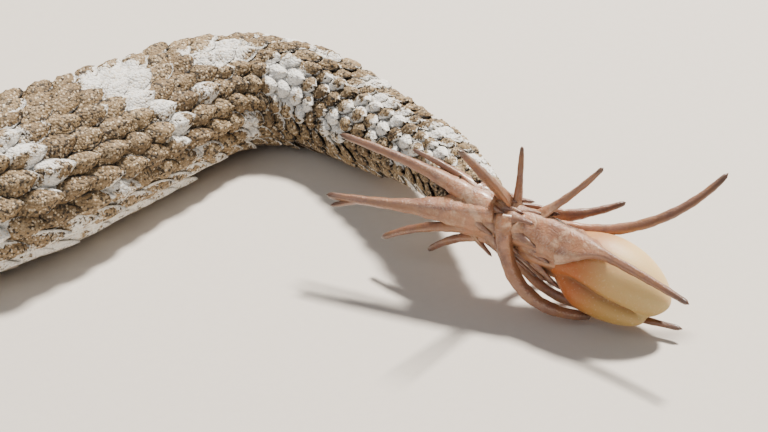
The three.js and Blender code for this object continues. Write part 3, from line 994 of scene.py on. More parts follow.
SAND = Palette(
    base=(0.31, 0.205, 0.115), dark=(0.095, 0.054, 0.028), light=(0.50, 0.375, 0.24),
    shade_and_grain=(0.045, 0.030, 0.019),
)
OLIVE = Palette(
    base=(0.29, 0.195, 0.095), dark=(0.125, 0.075, 0.032), light=(0.66, 0.54, 0.38),
    shade_and_grain=(0.015, 0.012, 0.010),
)


@dataclass(frozen=True)
class ScaleFinish:
    """The dry, rough, speckled finish of scales."""

    name: str
    palette: Palette
    grain: float  # how wide one grain is, in mm
    speckle: float  # how strong the fine dark and pale grains are, from 0 to 1
    drift: float = 9.0  # how far apart the areas with white rims are, in mm

    def rim(self, mixture: Mixture, inner: Wire) -> Wire:
        """Makes the white that runs along the edges of strongly speckled scales.

        Args:
            mixture: The material in the making.
            inner: How far a point lies from its scale's rim.

        Returns:
            How much white it adds.
        """
        drift = mixture.noise(self.drift, 3.0, 0.6).between(0.47, 0.62)
        rim = (1 - inner.between(0.1, 0.75)) * (0.25 + 0.4 * drift) + 0.12 * drift
        return rim * max(0.0, 2 * self.speckle - 1)

    def make(self) -> bpy.types.Material:
        """Makes the material.

        Returns:
            The material, which reads the markings that the scales' points carry.
        """
        mixture = Mixture(self.name, Specular_IOR_Level=0.35)
        dark, white, inner, draw = mixture.marks()
        fine = mixture.noise(self.grain * 0.8, 4.0, 0.7)
        broad = mixture.noise(self.grain * 6, 2.0)
        cell, kind = mixture.cells(self.grain)
        palette, speckle = self.palette, self.speckle
        tone = (dark + (broad - 0.5) * 0.5 + (draw - 0.5) * 0.4).clamped()
        plain = 1 - tone * 0.8
        lit = inner.between(0.55, 1.0) * fine.between(0.35, 0.7) * plain
        ragged = (fine - 0.5) * 1.5 + (broad - 0.5) * 2.0 + (kind - 0.5) * 0.45
        chalk = white * 1.5 - 0.3 - inner * 0.2 + self.rim(mixture, inner) + ragged
        chalk = chalk.between(0.3, 0.58)
        ochre = kind.between(0.35, 0.65) * 0.45 * speckle * plain * (1 - chalk)
        pale_grain = kind.between(0.76, 0.86) * speckle * (1 - cell.between(0.35, 0.7))
        dark_grain = (1 - kind).between(0.76, 0.88) * speckle * (1 - 0.85 * chalk)
        # Painted shade: darker towards each scale's rim and skirt, where it meets its neighbours,
        # and between its round grains.
        painted_crevice_shade = (1 - inner.between(0.0, 0.55)) * (0.62 + 0.36 * speckle)
        painted_crevice_shade = painted_crevice_shade + cell.between(0.5, 0.85) * 0.3 * speckle
        colour = mixture.layers(
            palette.base,
            (tone, palette.dark),
            (lit * 0.55, palette.light),
            (chalk, palette.chalk),
            (ochre, palette.ochre),
            (pale_grain * 0.8, palette.light),
            (dark_grain * 0.85, palette.shade_and_grain),
            ((painted_crevice_shade * (1 - 0.6 * chalk)).clamped(), palette.shade_and_grain),
        )
        mixture.feed(Base_Color=colour, Roughness=0.54 + fine * 0.3)
        mixture.bump((1 - cell * cell * 1.4) * 0.75 + fine * 0.5, self.grain * 0.5)
        return mixture.material


@dataclass(frozen=True)
class BellyFinish:
    """The smooth ivory finish of the belly scutes, dusted with brown at the sides."""

    ivory: tuple = (0.66, 0.57, 0.44)
    tan: tuple = (0.45, 0.33, 0.22)
    dust: tuple = (0.22, 0.135, 0.075)
    chalk: tuple = (0.78, 0.73, 0.64)
    # painted shade along each scute's rim, where it meets the next
    rim: tuple = (0.24, 0.17, 0.11)

    def make(self) -> bpy.types.Material:
        """Makes the material.

        Returns:
            The material.
        """
        mixture = Mixture("belly", Specular_IOR_Level=0.45)
        dark, white, crest, draw = mixture.marks()
        fine, broad = mixture.noise(0.5, 4.0), mixture.noise(4.0, 3.0)
        colour = mixture.layers(
            self.ivory,
            ((broad.between(0.5, 0.7) * 0.4 + (draw - 0.5) * 0.2).clamped(), self.tan),
            (dark * (0.55 + 0.45 * broad), self.dust),
            (white * fine.between(0.2, 0.5), self.chalk),
            # Painted shade: darker towards each scute's rim and skirt.
            ((1 - crest.between(0.0, 0.25)) * 0.5, self.rim),
        )
        mixture.feed(Base_Color=colour, Roughness=0.38 + broad * 0.2)
        mixture.bump(fine, 0.05)
        return mixture.material


@dataclass(frozen=True)
class SkinFinish:
    """The finish of the soft skin between and under the scales."""

    pale: tuple = (0.12, 0.085, 0.055)
    dark: tuple = (0.028, 0.021, 0.016)
    chalk: tuple = (0.66, 0.60, 0.51)

    def make(self) -> bpy.types.Material:
        """Makes the material.

        Returns:
            The material.
        """
        mixture = Mixture("skin", Specular_IOR_Level=0.3)
        dark, white, _, _ = mixture.marks()
        fine = mixture.noise(0.35, 4.0)
        chalk = white * fine.between(0.35, 0.6) * 0.8
        colour = mixture.layers(self.pale, (dark, self.dark), (chalk, self.chalk))
        mixture.feed(Base_Color=colour, Roughness=0.7 + fine * 0.2)
        mixture.bump(fine, 0.08)
        return mixture.material


@dataclass(frozen=True)
class LureFinish:
    """The soft, faintly glossy pinkish brown of the lure's long scales."""

    root: tuple = (0.42, 0.185, 0.088)
    leg: tuple = (0.225, 0.105, 0.062)
    rust: tuple = (0.28, 0.125, 0.045)
    blotch: tuple = (0.15, 0.066, 0.046)
    leaf: tuple = (0.62, 0.40, 0.26)
    # painted shade in the wrinkles' creases and on the faces turned to the stalk
    fold: tuple = (0.10, 0.033, 0.013)
    # painted highlight on the wrinkles' crests of the outer faces
    crest: tuple = (0.58, 0.42, 0.32)
    pore: tuple = (0.12, 0.05, 0.025)
    tip_dark: tuple = (0.065, 0.032, 0.022)
    tip_pale: tuple = (0.14, 0.08, 0.055)

    def make(self) -> bpy.types.Material:
        """Makes the material.

        Returns:
            The material.
        """
        mixture = Mixture(
            "lure_flesh", Specular_IOR_Level=0.6, Subsurface_Weight=0.1, Subsurface_Scale=0.0006,
            Coat_Weight=0.35, Coat_Roughness=0.22,
        )
        along, leaf, relief_and_shading, draw = mixture.marks()
        fine = mixture.noise(0.22, 4.0, 0.65)
        broad = mixture.noise(1.5, 3.0)
        patch = mixture.noise(3.2, 3.0, 0.65)
        tip = mixture.mix(draw * 0.6, self.tip_dark, self.tip_pale)
        flesh = mixture.layers(
            self.root,
            (along.between(0.1, 0.7), self.leg),
            (broad.between(0.42, 0.6) * 0.6, self.rust),
            (patch.between(0.5, 0.66) * 0.6, self.blotch),
            (leaf * broad.between(0.46, 0.68) * 0.65, self.leaf),
            # Painted shade in the creases and on the faces turned to the stalk.
            ((1 - relief_and_shading).between(0.35, 0.95) * 0.9, self.fold),
            # Painted highlight on the wrinkles' crests, mostly on the faces turned away from the
            # stalk.
            (relief_and_shading.between(0.78, 1.0) * fine.between(0.45, 0.68) * 0.5, self.crest),
            (fine.between(0.62, 0.72) * 0.5, self.pore),
            (along.between(0.84, 1.0) * 0.85, tip),
        )
        mixture.feed(Base_Color=flesh, Roughness=0.3 + fine * 0.3)
        crease = mixture.noise(0.9, 2.0, 0.4).maths("PINGPONG", 0.12) * 6
        mixture.bump(fine * 0.35 + relief_and_shading * 0.5 + crease * 0.25, 0.16, 0.9)
        return mixture.material


@dataclass(frozen=True)
class BulbFinish:
    """The cream of the lure's bulb, with an orange blush at its root."""

    cream: tuple = (0.80, 0.55, 0.245)
    # darker, browner underside and lower lobe: partly the lobe's own brown, partly painted shade
    shade: tuple = (0.37, 0.195, 0.042)
    green: tuple = (0.43, 0.34, 0.14)
    blush: tuple = (0.37, 0.095, 0.014)
    # painted shade in the groove between the two lobes
    groove: tuple = (0.20, 0.085, 0.022)
    pale: tuple = (0.82, 0.70, 0.50)

    def make(self) -> bpy.types.Material:
        """Makes the material.

        Returns:
            The material.
        """
        mixture = Mixture(
            "bulb", Specular_IOR_Level=0.5, Subsurface_Weight=0.15, Subsurface_Scale=0.001
        )
        along, low, groove, _ = mixture.marks()
        fine, broad = mixture.noise(0.3, 4.0), mixture.noise(2.5, 2.0)
        rooted = (1 - along.between(0.3, 0.66)) * (0.8 + 0.4 * low) * (0.95 + 0.6 * (broad - 0.5))
        colour = mixture.layers(
            self.cream,
            # Darker and browner towards the underside: partly the bulb's own brown, partly painted
            # shade.
            (low.between(0.1, 0.9), self.shade),
            (along.between(0.45, 1.0) * low.between(0.1, 0.6) * 0.6, self.green),
            (rooted.clamped(), self.blush),
            # Painted shade in the groove between the lobes.
            (groove * 0.9, self.groove),
            (fine.between(0.55, 0.75) * 0.18, self.pale),
        )
        mixture.feed(Base_Color=colour, Roughness=0.40 + fine * 0.2)
        mixture.bump(fine * 0.4 + broad * 0.6, 0.10, 0.7)
        return mixture.material


@dataclass(frozen=True)
class EyeFinish:
    """A glossy eye with an upright slit pupil in a veined grey-brown iris."""

    brown: tuple = (0.075, 0.048, 0.026)
    grey: tuple = (0.36, 0.27, 0.155)
    vein: tuple = (0.16, 0.092, 0.045)
    # painted shade round the edge of the iris, where the ball meets its socket
    rim: tuple = (0.016, 0.011, 0.008)
    # painted shade from the brow over the upper iris
    shade: tuple = (0.03, 0.02, 0.013)
    ring: tuple = (0.42, 0.32, 0.18)
    pupil: tuple = (0.004, 0.003, 0.003)
    slit_width: float = 0.012
    slit_height: float = 0.62

    def make(self) -> bpy.types.Material:
        """Makes the material.

        Returns:
            The material.
        """
        mixture = Mixture(
            "eye", Roughness=0.12, Specular_IOR_Level=0.4, Coat_IOR=1.36, Coat_Roughness=0.03
        )
        across, up, front, _ = mixture.marks()
        x, z = (across - 0.5) * 2, (up - 0.5) * 2
        slit = x * x / self.slit_width + z * z / self.slit_height
        grain, streak = mixture.noise(0.16, 5.0, 0.75), mixture.noise(0.5, 3.0)
        ring = slit.between(0.9, 1.25) * (1 - slit.between(1.3, 2.2))
        iris = mixture.layers(
            self.brown,
            (grain.between(0.36, 0.66), self.grey),
            (streak.between(0.48, 0.62) * 0.6, self.vein),
            # Painted shade: darker round the iris's edge and over its upper half, under the brow.
            ((x * x + z * z).between(0.55, 0.95) * 0.92, self.rim),
            (z.between(0.1, 0.9) * 0.45, self.shade),
            (ring * 0.4, self.ring),
            (1 - slit.between(0.85, 1.05), self.pupil),
        )
        mixture.feed(Base_Color=iris, Coat_Weight=0.25 + front * 0.35)
        return mixture.material


@dataclass(frozen=True)
class FloorFinish:
    """The matt, faintly grained paint of the floor."""

    shade: tuple = (0.66, 0.60, 0.53)
    pale: tuple = (0.70, 0.645, 0.575)

    def make(self) -> bpy.types.Material:
        """Makes the material.

        Returns:
            The material.
        """
        mixture = Mixture("floor", Roughness=0.85, Specular_IOR_Level=0.2)
        mixture.feed(Base_Color=mixture.mix(mixture.noise(1.2, 4.0), self.shade, self.pale))
        return mixture.material


@dataclass
class Skin:
    """The one skin of body and head."""

    surface: Surface
    markings: Markings
    sides: int = 168
    body_step: float = 2.4
    head_step: float = 0.28

    def build(self, material: bpy.types.Material) -> bpy.types.Object:
        """Builds the skin.

        Args:
            material: Its finish.

        Returns:
            The skin, which stands for every length of the body, the head and the jaw.
        """
        route, surface = self.surface.route, self.surface
        snout = surface.nape - surface.head.sections[-1][0]
        head = np.arange(snout, surface.nape + 6, self.head_step)
        body = np.arange(surface.nape + 6, route.tail, self.body_step)
        s = np.concatenate([head, body, [route.tail]])[:, None]
        turn = (np.arange(self.sides + 1) / self.sides - 0.5)[None, :] * 2 * math.pi
        s_all, turn_all = np.broadcast_arrays(s, turn)
        rings = surface.point(s_all, turn_all, -surface.depth(s_all))
        dark = self.markings.dark(s_all, turn_all)
        white = self.markings.white(s_all, turn_all, np.full_like(s_all, 0.4))
        marks = together(dark, white, 0.0, 0.5)
        places = together(*surface.unwrap(s_all, turn_all))
        form = Form()
        add_tube(form, rings[:, :-1], marks[:, :-1], places)
        return form.build("skin", material)


@dataclass
class BodyScales:
    """The keeled scales of the back and sides, the tail's knobbed ones, and the belly scutes."""

    surface: Surface
    markings: Markings
    # s and the length of one row's repeat
    pitch: tuple = (
        (-602, 2.5), (-575, 3.2), (-500, 4.0), (-350, 4.8), (-150, 4.7), (-20, 4.3), (20, 4.1),
        (50, 3.5), (75, 2.9), (92, 2.3),
    )
    # s and the number of rows over the back
    rows: tuple = ((-602, 23), (-350, 23), (-120, 21), (-20, 18), (10, 17), (50, 14), (92, 10))
    edge: float = 2.32  # turn where the belly scutes begin
    long: float = 1.55
    wide: float = 1.36
    vent: float = 14.0  # s behind which the scutes are in pairs
    seed: int = 11

    def lattice(self) -> dict:
        """Sets out the scales of the back and sides.

        Returns:
            The s, turn, pitch, gap and random draw of each.
        """
        found = []
        s, ring = self.surface.nape + 1.2, 0
        while s < self.surface.route.tail - 1.6:
            pitch = float(read(self.pitch, s))
            gap = 2 * self.edge / float(read(self.rows, s))
            top = int(self.edge / gap)
            for k in range(-top, top + 1):
                if (k + ring) % 2 == 0:
                    found.append((s, k * gap, pitch, gap))
            s += pitch / 2
            ring += 1
        rng = np.random.default_rng(self.seed)
        at = np.array(found).T
        at[0] += rng.normal(0, 0.035, at.shape[1]) * at[2]
        at[1] += rng.normal(0, 0.03, at.shape[1]) * at[3]
        return {**dict(zip(("s", "turn", "pitch", "gap"), at)), "draw": rng.random(at.shape[1])}

    def build(
        self, name: str, start: float, end: float, shape: ScaleShape, high: float,
        material: bpy.types.Material,
    ) -> bpy.types.Object:
        """Builds one stretch of the back's scales.

        Args:
            name: The piece's name.
            start: s where it starts.
            end: s where it ends.
            shape: The scales' shape.
            high: How far they stand up, in mm at the widest of the body.
            material: Their finish.

        Returns:
            The piece.
        """
        lattice = self.lattice()
        keep = (lattice["s"] >= start) & (lattice["s"] < end)
        s, turn, pitch, gap, draw = (values[keep] for values in lattice.values())
        per = self.surface.stretch(s, turn)
        flank = smooth((np.abs(turn) - 1.75) / 0.4)
        size = np.clip(pitch / 4.4, 0.45, 1.15)
        at = {
            "s": s, "turn": turn, "long": pitch * self.long * (1 + 0.12 * flank),
            "wide": gap * per * (self.wide - 0.12 * smooth((s + 40) / 20)),
            "high": high * size * (1 - 0.2 * flank),
            "dark": self.markings.dark(s, turn) * (1 - 0.6 * flank),
            "white": self.markings.white(s, turn, draw), "under": self.surface.depth(s),
        }
        form = Form()
        outer = np.abs(turn) > self.edge - 1.7 * gap
        inner = {key: value[~outer] for key, value in at.items()}
        Scales(self.surface, self.markings, shape, seed=int(1000 + start)).lay(form, inner)
        last = {key: value[outer] for key, value in at.items()}
        pale = 1 - 0.8 * smooth((last["s"] - 30) / 20)
        last["white"] = np.maximum(last["white"], (0.72 + 0.4 * (draw[outer] - 0.5)) * pale)
        last["long"] *= 1.18
        Scales(self.surface, self.markings, OUTERMOST, seed=int(2000 + start)).lay(form, last)
        return form.build(name, material)

    def belly(self, material: bpy.types.Material) -> bpy.types.Object:
        """Builds the belly scutes.

        Args:
            material: Their finish.

        Returns:
            The scutes, single ahead of the vent and in pairs behind it.
        """
        single, pair = [], []
        s = self.surface.nape - 4.0
        while s < self.surface.route.tail - 0.5:
            pitch = float(read(self.pitch, s))
            half_arc = (math.pi - self.edge) * float(self.surface.stretch(s, 2.6))
            if s < self.vent:
                single.append((s, math.pi, pitch * 1.4, 2 * half_arc * 1.13))
            else:
                middle = (math.pi + self.edge) / 2
                pair += [(s, side * middle, pitch * 1.4, half_arc * 1.15) for side in (-1, 1)]
            s += pitch
        form = Form()
        rng = np.random.default_rng(self.seed)
        for rows, shape in ((single, BELLY_SCUTE), (pair, TAIL_SCUTE)):
            s, turn, long, wide = np.array(rows).T
            depth = self.surface.depth(s)
            at = {
                "s": s, "turn": turn, "long": long, "wide": wide, "high": depth * 0.62,
                "dark": smooth((s - 18) / 14), "under": depth,
                "white": (0.35 + 0.5 * rng.random(len(s))) * (1 - 0.9 * smooth((s - 18) / 14)),
            }
            Scales(self.surface, self.markings, shape, seed=7).lay(form, at)
        return form.build("belly_scutes", material)


@dataclass
class HeadScales:
    """The small keeled scales of the head, the lip plates, and the rings round the eyes."""

    surface: Surface
    markings: Markings
    crown_front: float = 36.1  # x of the first row of each kind
    lip_front: float = 35.75
    chin_front: float = 35.4
    crown_end: float = -1.4
    crown_edge: float = 2.6  # turn at which the small scales end
    overlap: float = 0.52  # share of a scale's pitch from one row to the next
    lip_rows: tuple = ((1.12, 1.85), (-1.1, 1.75))  # height over the mouth line, and width
    eye_clear: float = 3.1  # how far the small scales keep from eye, nostril and horn
    nostril_clear: float = 1.15
    horn_clear: float = 1.9
    gape_clear: float = 2.2  # how far from the mouth line the lip plates reach
    beads: int = 15
    bead_ring: tuple = (2.75, 2.55)
    seed: int = 31

    def turn_at(self, x: float, z: float) -> float:
        """Finds where round the head a height lies.

        Args:
            x: Distance ahead of the nape.
            z: The height.

        Returns:
            The turn, on the snake's left.
        """
        turns = np.linspace(0.05, math.pi - 0.05, 400)
        s = np.full_like(turns, self.surface.nape - x)
        _, heights = self.surface.local(s, turns, 0 * s)
        return float(turns[np.argmin(np.abs(heights - z))])

    def small(self) -> list[tuple[float, float, float, float, float]]:
        """Sets out the small scales of the crown and cheeks.

        Returns:
            The s, turn, length, width and height of each.
        """
        found = []
        x, ring = self.crown_front, 0
        while x > self.crown_end:
            pitch = 1.15 + 0.95 * float(smooth((26 - x) / 26))
            s, turn = self.surface.nape - x, 0.0
            while turn < self.crown_edge:
                spacing = pitch * 0.98 / float(self.surface.stretch(s, turn))
                here = turn + (ring % 2) * 0.5 * spacing
                size = (pitch * 1.5, pitch * 1.18, 0.34 + 0.1 * pitch)
                for place in ((-here, here) if here > 1e-6 else (here,)):
                    if self.is_free(s, place):
                        found.append((s, place, *size))
                turn += spacing
            x -= pitch * self.overlap / float(self.surface.lengthen(s, 0.9))
            ring += 1
        return found

    def is_free(self, s: float, turn: float) -> bool:
        """Checks a place for a small scale.

        Args:
            s: Place along the snake.
            turn: Place round it.

        Returns:
            Whether it is clear of eye, nostril, lips, horn and throat.
        """
        head, x = self.surface.head, self.surface.nape - s
        y, z = (float(value) for value in self.surface.local(s, turn, 0.0))
        gape = z - float(head.mouth(x))
        ex, ey, ez = head.eye
        in_eye = math.dist((x, abs(y), z), (ex, ey + 1.4, ez)) < self.eye_clear
        in_nostril = math.dist((x, abs(y), z), head.nostril) < self.nostril_clear
        lip_top = 2.0 if x < 32.5 else 0.5
        in_lips = x > head.corner_at - 1.5 and -self.gape_clear < gape < lip_top
        from_horn = math.dist((x, abs(y)), (head.brow[0], head.brow[1] + 0.3))
        in_horn = from_horn < self.horn_clear and z > 12
        in_throat = gape < -self.gape_clear and x > 2
        return not (in_eye or in_nostril or in_lips or in_horn or in_throat)

    def lips(self) -> list[tuple[float, float, float, float, float]]:
        """Sets out the lip plates above and below the mouth line, in order along it.

        Returns:
            The s, turn, length, width and height of each.
        """
        head, plates = self.surface.head, []
        x = self.lip_front
        while x > head.corner_at - 0.5:
            s, line = self.surface.nape - x, float(head.mouth(x))
            step = 1.9 + 0.5 * float(smooth((28 - x) / 14))
            for off, tall in self.lip_rows:
                turn = self.turn_at(x, line + off)
                plates += [(s, side * turn, step * 1.14, tall, 0.34) for side in (-1, 1)]
            x -= step / float(self.surface.lengthen(s, 1.7))
        return plates

    def throat(self) -> list[tuple[float, float, float, float, float]]:
        """Sets out the smooth scales of the chin and throat.

        Returns:
            The s, turn, length, width and height of each.
        """
        plates = []
        x, ring = self.chin_front, 0
        while x > 0.5:
            s, step = self.surface.nape - x, 1.9 + 0.6 * float(smooth((26 - x) / 20))
            start = self.turn_at(x, float(self.surface.head.mouth(x)) - self.gape_clear)
            room = (math.pi - start) * float(self.surface.stretch(s, 2.8))
            count = max(1, round(room / (step * 0.95)))
            for k in range(count + 1):
                share = min(1.0, (k + 0.5 * (ring % 2)) / count)
                turn = math.pi - share * (math.pi - start)
                plates += [(s, side * turn, step * 1.5, step * 1.15, 0.3) for side in (-1, 1)]
            x -= step * self.overlap / float(self.surface.lengthen(s, 2.6))
            ring += 1
        return plates

    def lay(self, form: Form, rows: list, shape: ScaleShape, white: float) -> None:
        """Adds scales given by s, turn, length, width and height.

        Args:
            form: The form that they join.
            rows: The scales.
            shape: Their shape.
            white: How pale they are at the least.
        """
        s, turn, long, wide, high = np.array(rows).T
        draw = np.random.default_rng(self.seed).random(len(s))
        at = {
            "s": s, "turn": turn, "long": long, "wide": wide, "high": high,
            "dark": self.markings.dark(s, turn),
            "white": np.maximum(white * (0.6 + 0.5 * draw), 0.42 * (draw > 0.95)),
            "under": self.surface.depth(s),
        }
        Scales(self.surface, self.markings, shape, seed=self.seed).lay(form, at)

    def build(self, material: bpy.types.Material) -> list[bpy.types.Object]:
        """Builds the head's scales.

        Args:
            material: Their finish.

        Returns:
            The scales of the crown and cheeks, and those of the lips, eyes and throat.
        """
        crown, form = Form(), Form()
        self.lay(crown, self.small(), HEAD_SCALE, 0.0)
        self.lay(form, self.lips(), LIP_PLATE, 0.42)
        self.lay(form, self.throat(), CHIN_SCALE, 0.62)
        self.eye_rings(form)
        pieces = (("crown_scales", crown), ("lip_and_throat_scales", form))
        return [scales.build(name, material) for name, scales in pieces]

    def eye_rings(self, form: Form) -> None:
        """Adds the beads that ring each eye.

        Args:
            form: The form that they join.
        """
        ex, _, ez = self.surface.head.eye
        long, tall = self.bead_ring
        rows = []
        for i in range(self.beads):
            angle = 2 * math.pi * i / self.beads
            x = ex + long * math.cos(angle)
            turn = self.turn_at(x, ez + tall * math.sin(angle))
            rows += [(self.surface.nape - x, side * turn, 1.35, 1.15, 0.55) for side in (-1, 1)]
        self.lay(form, rows, EYE_BEAD, 0.1)


@dataclass
class HeadForms:
    """The eyes, the horns and the plates at the tip of the snout."""

    surface: Surface
    eye_grid: tuple = (40, 64)
    iris_reach: float = 0.97  # how much of the ball's half width the iris takes
    spikes: int = 9
    spike_grid: tuple = (12, 12)
    spike_rows: tuple = (0.7, -0.75)
    spike_height: float = 4.5
    spike_width: float = 0.95
    spike_spread: float = 4.6  # how long the rows are
    plate_grid: tuple = (9, 36)
    plate_front: float = 36.5
    # height over the mouth line, half width, half height and backward lean of each snout plate
    plates: tuple = ((1.45, 2.4, 1.35, 0.12), (-1.15, 1.8, 0.85, 0.05))
    plate_depth: float = 1.3
    seed: int = 41

    def place(self, points: Array) -> Array:
        """Moves points from the head's own frame to the model's.

        Args:
            points: Points ahead of the nape, to the left and up.

        Returns:
            The same points in the model's frame.
        """
        nape = np.array([self.surface.nape])
        floor, left, _ = self.surface.route.frame(nape)
        heading = float(self.surface.route.heading(nape)[0])
        ahead = -np.array([math.cos(heading), math.sin(heading), 0.0])
        up = np.array([0.0, 0.0, 1.0])
        x, y, z = np.moveaxis(points, -1, 0)[..., None]
        return floor[0] + x * ahead + y * left[0] + z * up

    def eye(self, which: Side, material: bpy.types.Material) -> bpy.types.Object:
        """Builds one eye.

        Args:
            which: The eye's side.
            material: The eye's finish.

        Returns:
            The eye, a ball whose pole faces out.
        """
        head, side = self.surface.head, which.value
        rings, sides = self.eye_grid
        polar = (np.linspace(0.02, 1, rings) * math.pi)[:, None]
        around = full_turn(sides) * side
        x, z = np.sin(polar) * np.cos(around), np.sin(polar) * np.sin(around)
        ball = together(x, side * np.cos(polar), z) * head.eye_radius
        ball = ball + np.array([head.eye[0], side * head.eye[1], head.eye[2]])
        front = (np.cos(polar) > 0).astype(float)
        marks = together(0.5 + x / 2 / self.iris_reach, 0.5 + z / 2 / self.iris_reach, front, 0.5)
        form = Form()
        add_tube(form, self.place(ball)[::-1], marks[::-1], np.zeros((rings, sides + 1, 2)))
        return form.build(f"{which.label}_eye", material, mapped=False)

    def horn(self, which: Side, material: bpy.types.Material) -> bpy.types.Object:
        """Builds the cluster of raised scales over one eye.

        Args:
            which: The horn's side.
            material: The horn's finish.

        Returns:
            The horn.
        """
        bx, by, bz = self.surface.head.brow
        side = which.value
        rng = np.random.default_rng(self.seed + side)
        form = Form()
        rings, sides = self.spike_grid
        share = np.linspace(0, 1, rings)[:, None]
        angle = full_turn(sides)
        for i in range(self.spikes):
            f = i / (self.spikes - 1) - 0.5
            row = self.spike_rows[i % 2]
            foot = np.array([bx + f * self.spike_spread, side * (by + 0.2 + row), bz + 0.1])
            tall = (self.spike_height + rng.normal(0, 0.2)) * (1 - 1.7 * f * f)
            tall *= 1.0 if row > 0 else 0.82
            tip = foot + np.array([f * 2.2 - 0.9, side * (1.3 + row * 0.7), tall])
            line = foot + (tip - foot) * share
            line[:, 0] -= 0.5 * np.sin(np.pi * share[:, 0])
            wide = self.spike_width * np.sin(np.pi * (0.30 + 0.70 * share)) ** 0.75 + 0.06
            thick = wide * 0.55
            keel = 1 + 0.35 * bell(np.angle(np.exp(1j * (angle - math.pi / 2))), 0.5)
            x = line[:, :1] + wide * np.cos(angle)
            y = line[:, 1:2] + side * thick * keel * np.sin(angle)
            points = self.place(together(x, y, line[:, 2:3]))
            # Low at each spike's foot and high towards its tip and keel, so the scale finish paints
            # shade at the foot and a highlight towards the tip.
            crest = 0.35 + 0.6 * share * (keel > 1.1) + 0.3 * share
            marks = together(0.12, 0.28 * share, crest, rng.random())
            ordered = points if side > 0 else points[:, ::-1]
            add_tube(form, ordered[:, ::-1], marks, np.zeros((rings, sides + 1, 2)))
        return form.build(f"{which.label}_horn", material, mapped=False)

    def snout_plates(self, material: bpy.types.Material) -> bpy.types.Object:
        """Builds the plates at the tip of the snout.

        Args:
            material: Their finish.

        Returns:
            The plate of the upper jaw and the one below it, as one piece.
        """
        line = float(self.surface.head.mouth(self.surface.head.length))
        form = Form()
        rings, sides = self.plate_grid
        share = np.linspace(0.02, 1, rings)[:, None]
        angle = full_turn(sides)
        for middle, half, tall, lean in self.plates:
            y = half * share * np.sign(np.cos(angle)) * np.abs(np.cos(angle)) ** 0.7
            z = line + middle + tall * share * np.sign(np.sin(angle)) * np.abs(np.sin(angle)) ** 0.7
            front = self.plate_front - 0.085 * y**2 - lean * (z - line) ** 2 * 0.6 - 0.12 * share**4
            back = together(front - self.plate_depth, y, z)[::-1]
            whole = np.concatenate([together(front, y, z), back])
            # High in the middle of each plate's face and 0 at its edge and back, so the scale
            # finish paints shade at the edges and a highlight in the middle.
            fade = np.concatenate([1 - share**3, 0 * share]) + 0 * angle
            marks = together(0.12, 0.22, fade, 0.5)
            add_tube(form, self.place(whole), marks, np.zeros((2 * rings, sides + 1, 2)))
        return form.build("snout_plates", material, mapped=False)


@dataclass(frozen=True)
class LongScale:
    """One long scale of the lure: a leaf at its root that draws in to a round leg."""

    at: float  # where it grows, along the stalk and round it from the top
    roll: float
    start: tuple  # heading and pitch in degrees, at the root and at the tip
    end: tuple
    length: float
    wide: float  # how wide the leaf is
    leaf: float  # the share of the length that the leaf takes
    thick: float  # how thick the leg is
    settle: float = 1.0  # the share of the length in which it turns from start to end
    shoulder: float = 0.0  # share of the length in which a broad leaf draws in to its leg
    skip: float = 0.0  # a second tip shares its line with the first up to here
    drape: float = 0.0  # how far the leaf's near edge hangs down, as a share of its half width


LONG_SCALES = (
    LongScale(1.5, -55, (164, -6), (159, -1), 19.5, 4.4, 0.7, 1.5),
    LongScale(0.8, -25, (146, 13), (153, 6), 20, 3.8, 0.6, 1.35),
    LongScale(1.0, -5, (142, 20), (154, 13), 11, 2.6, 0.6, 0.95),
    LongScale(3.2, 15, (-129, 50), (-132, 47), 14.5, 3, 0.5, 1.3),
    LongScale(4.4, 10, (78, 77), (78, 77), 7.5, 3.2, 0.55, 0.9),
    LongScale(6.6, 10, (-12, 34), (-2, 50), 10.5, 3.2, 0.7, 1),
    LongScale(4.4, 85, (-10, -4), (10, 18), 12.5, 3.8, 0.75, 1.3),
    LongScale(8.2, 55, (-22, -6), (25, 40), 22.5, 3, 0.4, 1.45),
    LongScale(5.2, -10, (-36, -4), (-50, -4), 24.5, 5.0, 0.55, 1.3, shoulder=0.24, drape=0.95),
    LongScale(4.2, -60, (-101, -54), (6, -3), 16.8, 3, 0.3, 1.85),
    LongScale(2.8, -100, (146, -4), (152, -34), 15.5, 2.6, 0.4, 1.3),
    LongScale(3.4, -120, (140, -10), (140, -45), 11, 2.4, 0.4, 1.2),
    LongScale(6.4, -50, (-15, -45), (-16, -56), 9, 3.4, 1, 0.9),
    LongScale(2.2, -85, (-30, -62), (10, -58), 6, 2.4, 1, 0.8),
    LongScale(4.6, 105, (60, -48), (-10, -10), 11, 2.6, 0.4, 1.4),
    LongScale(8.0, 110, (15, -34), (-20, -12), 10, 3, 0.7, 1),
    LongScale(5.4, -170, (-32, -64), (-25, 0), 23.5, 2.2, 0.3, 1.2, 0.5),
)


@dataclass(frozen=True)
class Lobe:
    """One lobe of the bulb, along the lure's axis."""

    start: float  # places along the lure where it starts and ends
    end: float
    half: float  # half its width at the fullest
    side: float  # how far its middle comes to lie to the left, and up
    rise: float

    def swell(self, at: Array) -> tuple[Array, Array, Array]:
        """Finds the lobe's round section.

        Args:
            at: Place along the lure.

        Returns:
            Its radius there, and how far its middle lies to the left and up.
        """
        f = np.clip((at - self.start) / (self.end - self.start), 0, 1)
        rounded = np.maximum(np.sin(np.pi * (0.08 + 0.92 * f) ** 1.25), 0) ** 0.55
        shift = smooth(f * 2)
        return rounded * self.half, self.side * shift, self.rise * shift


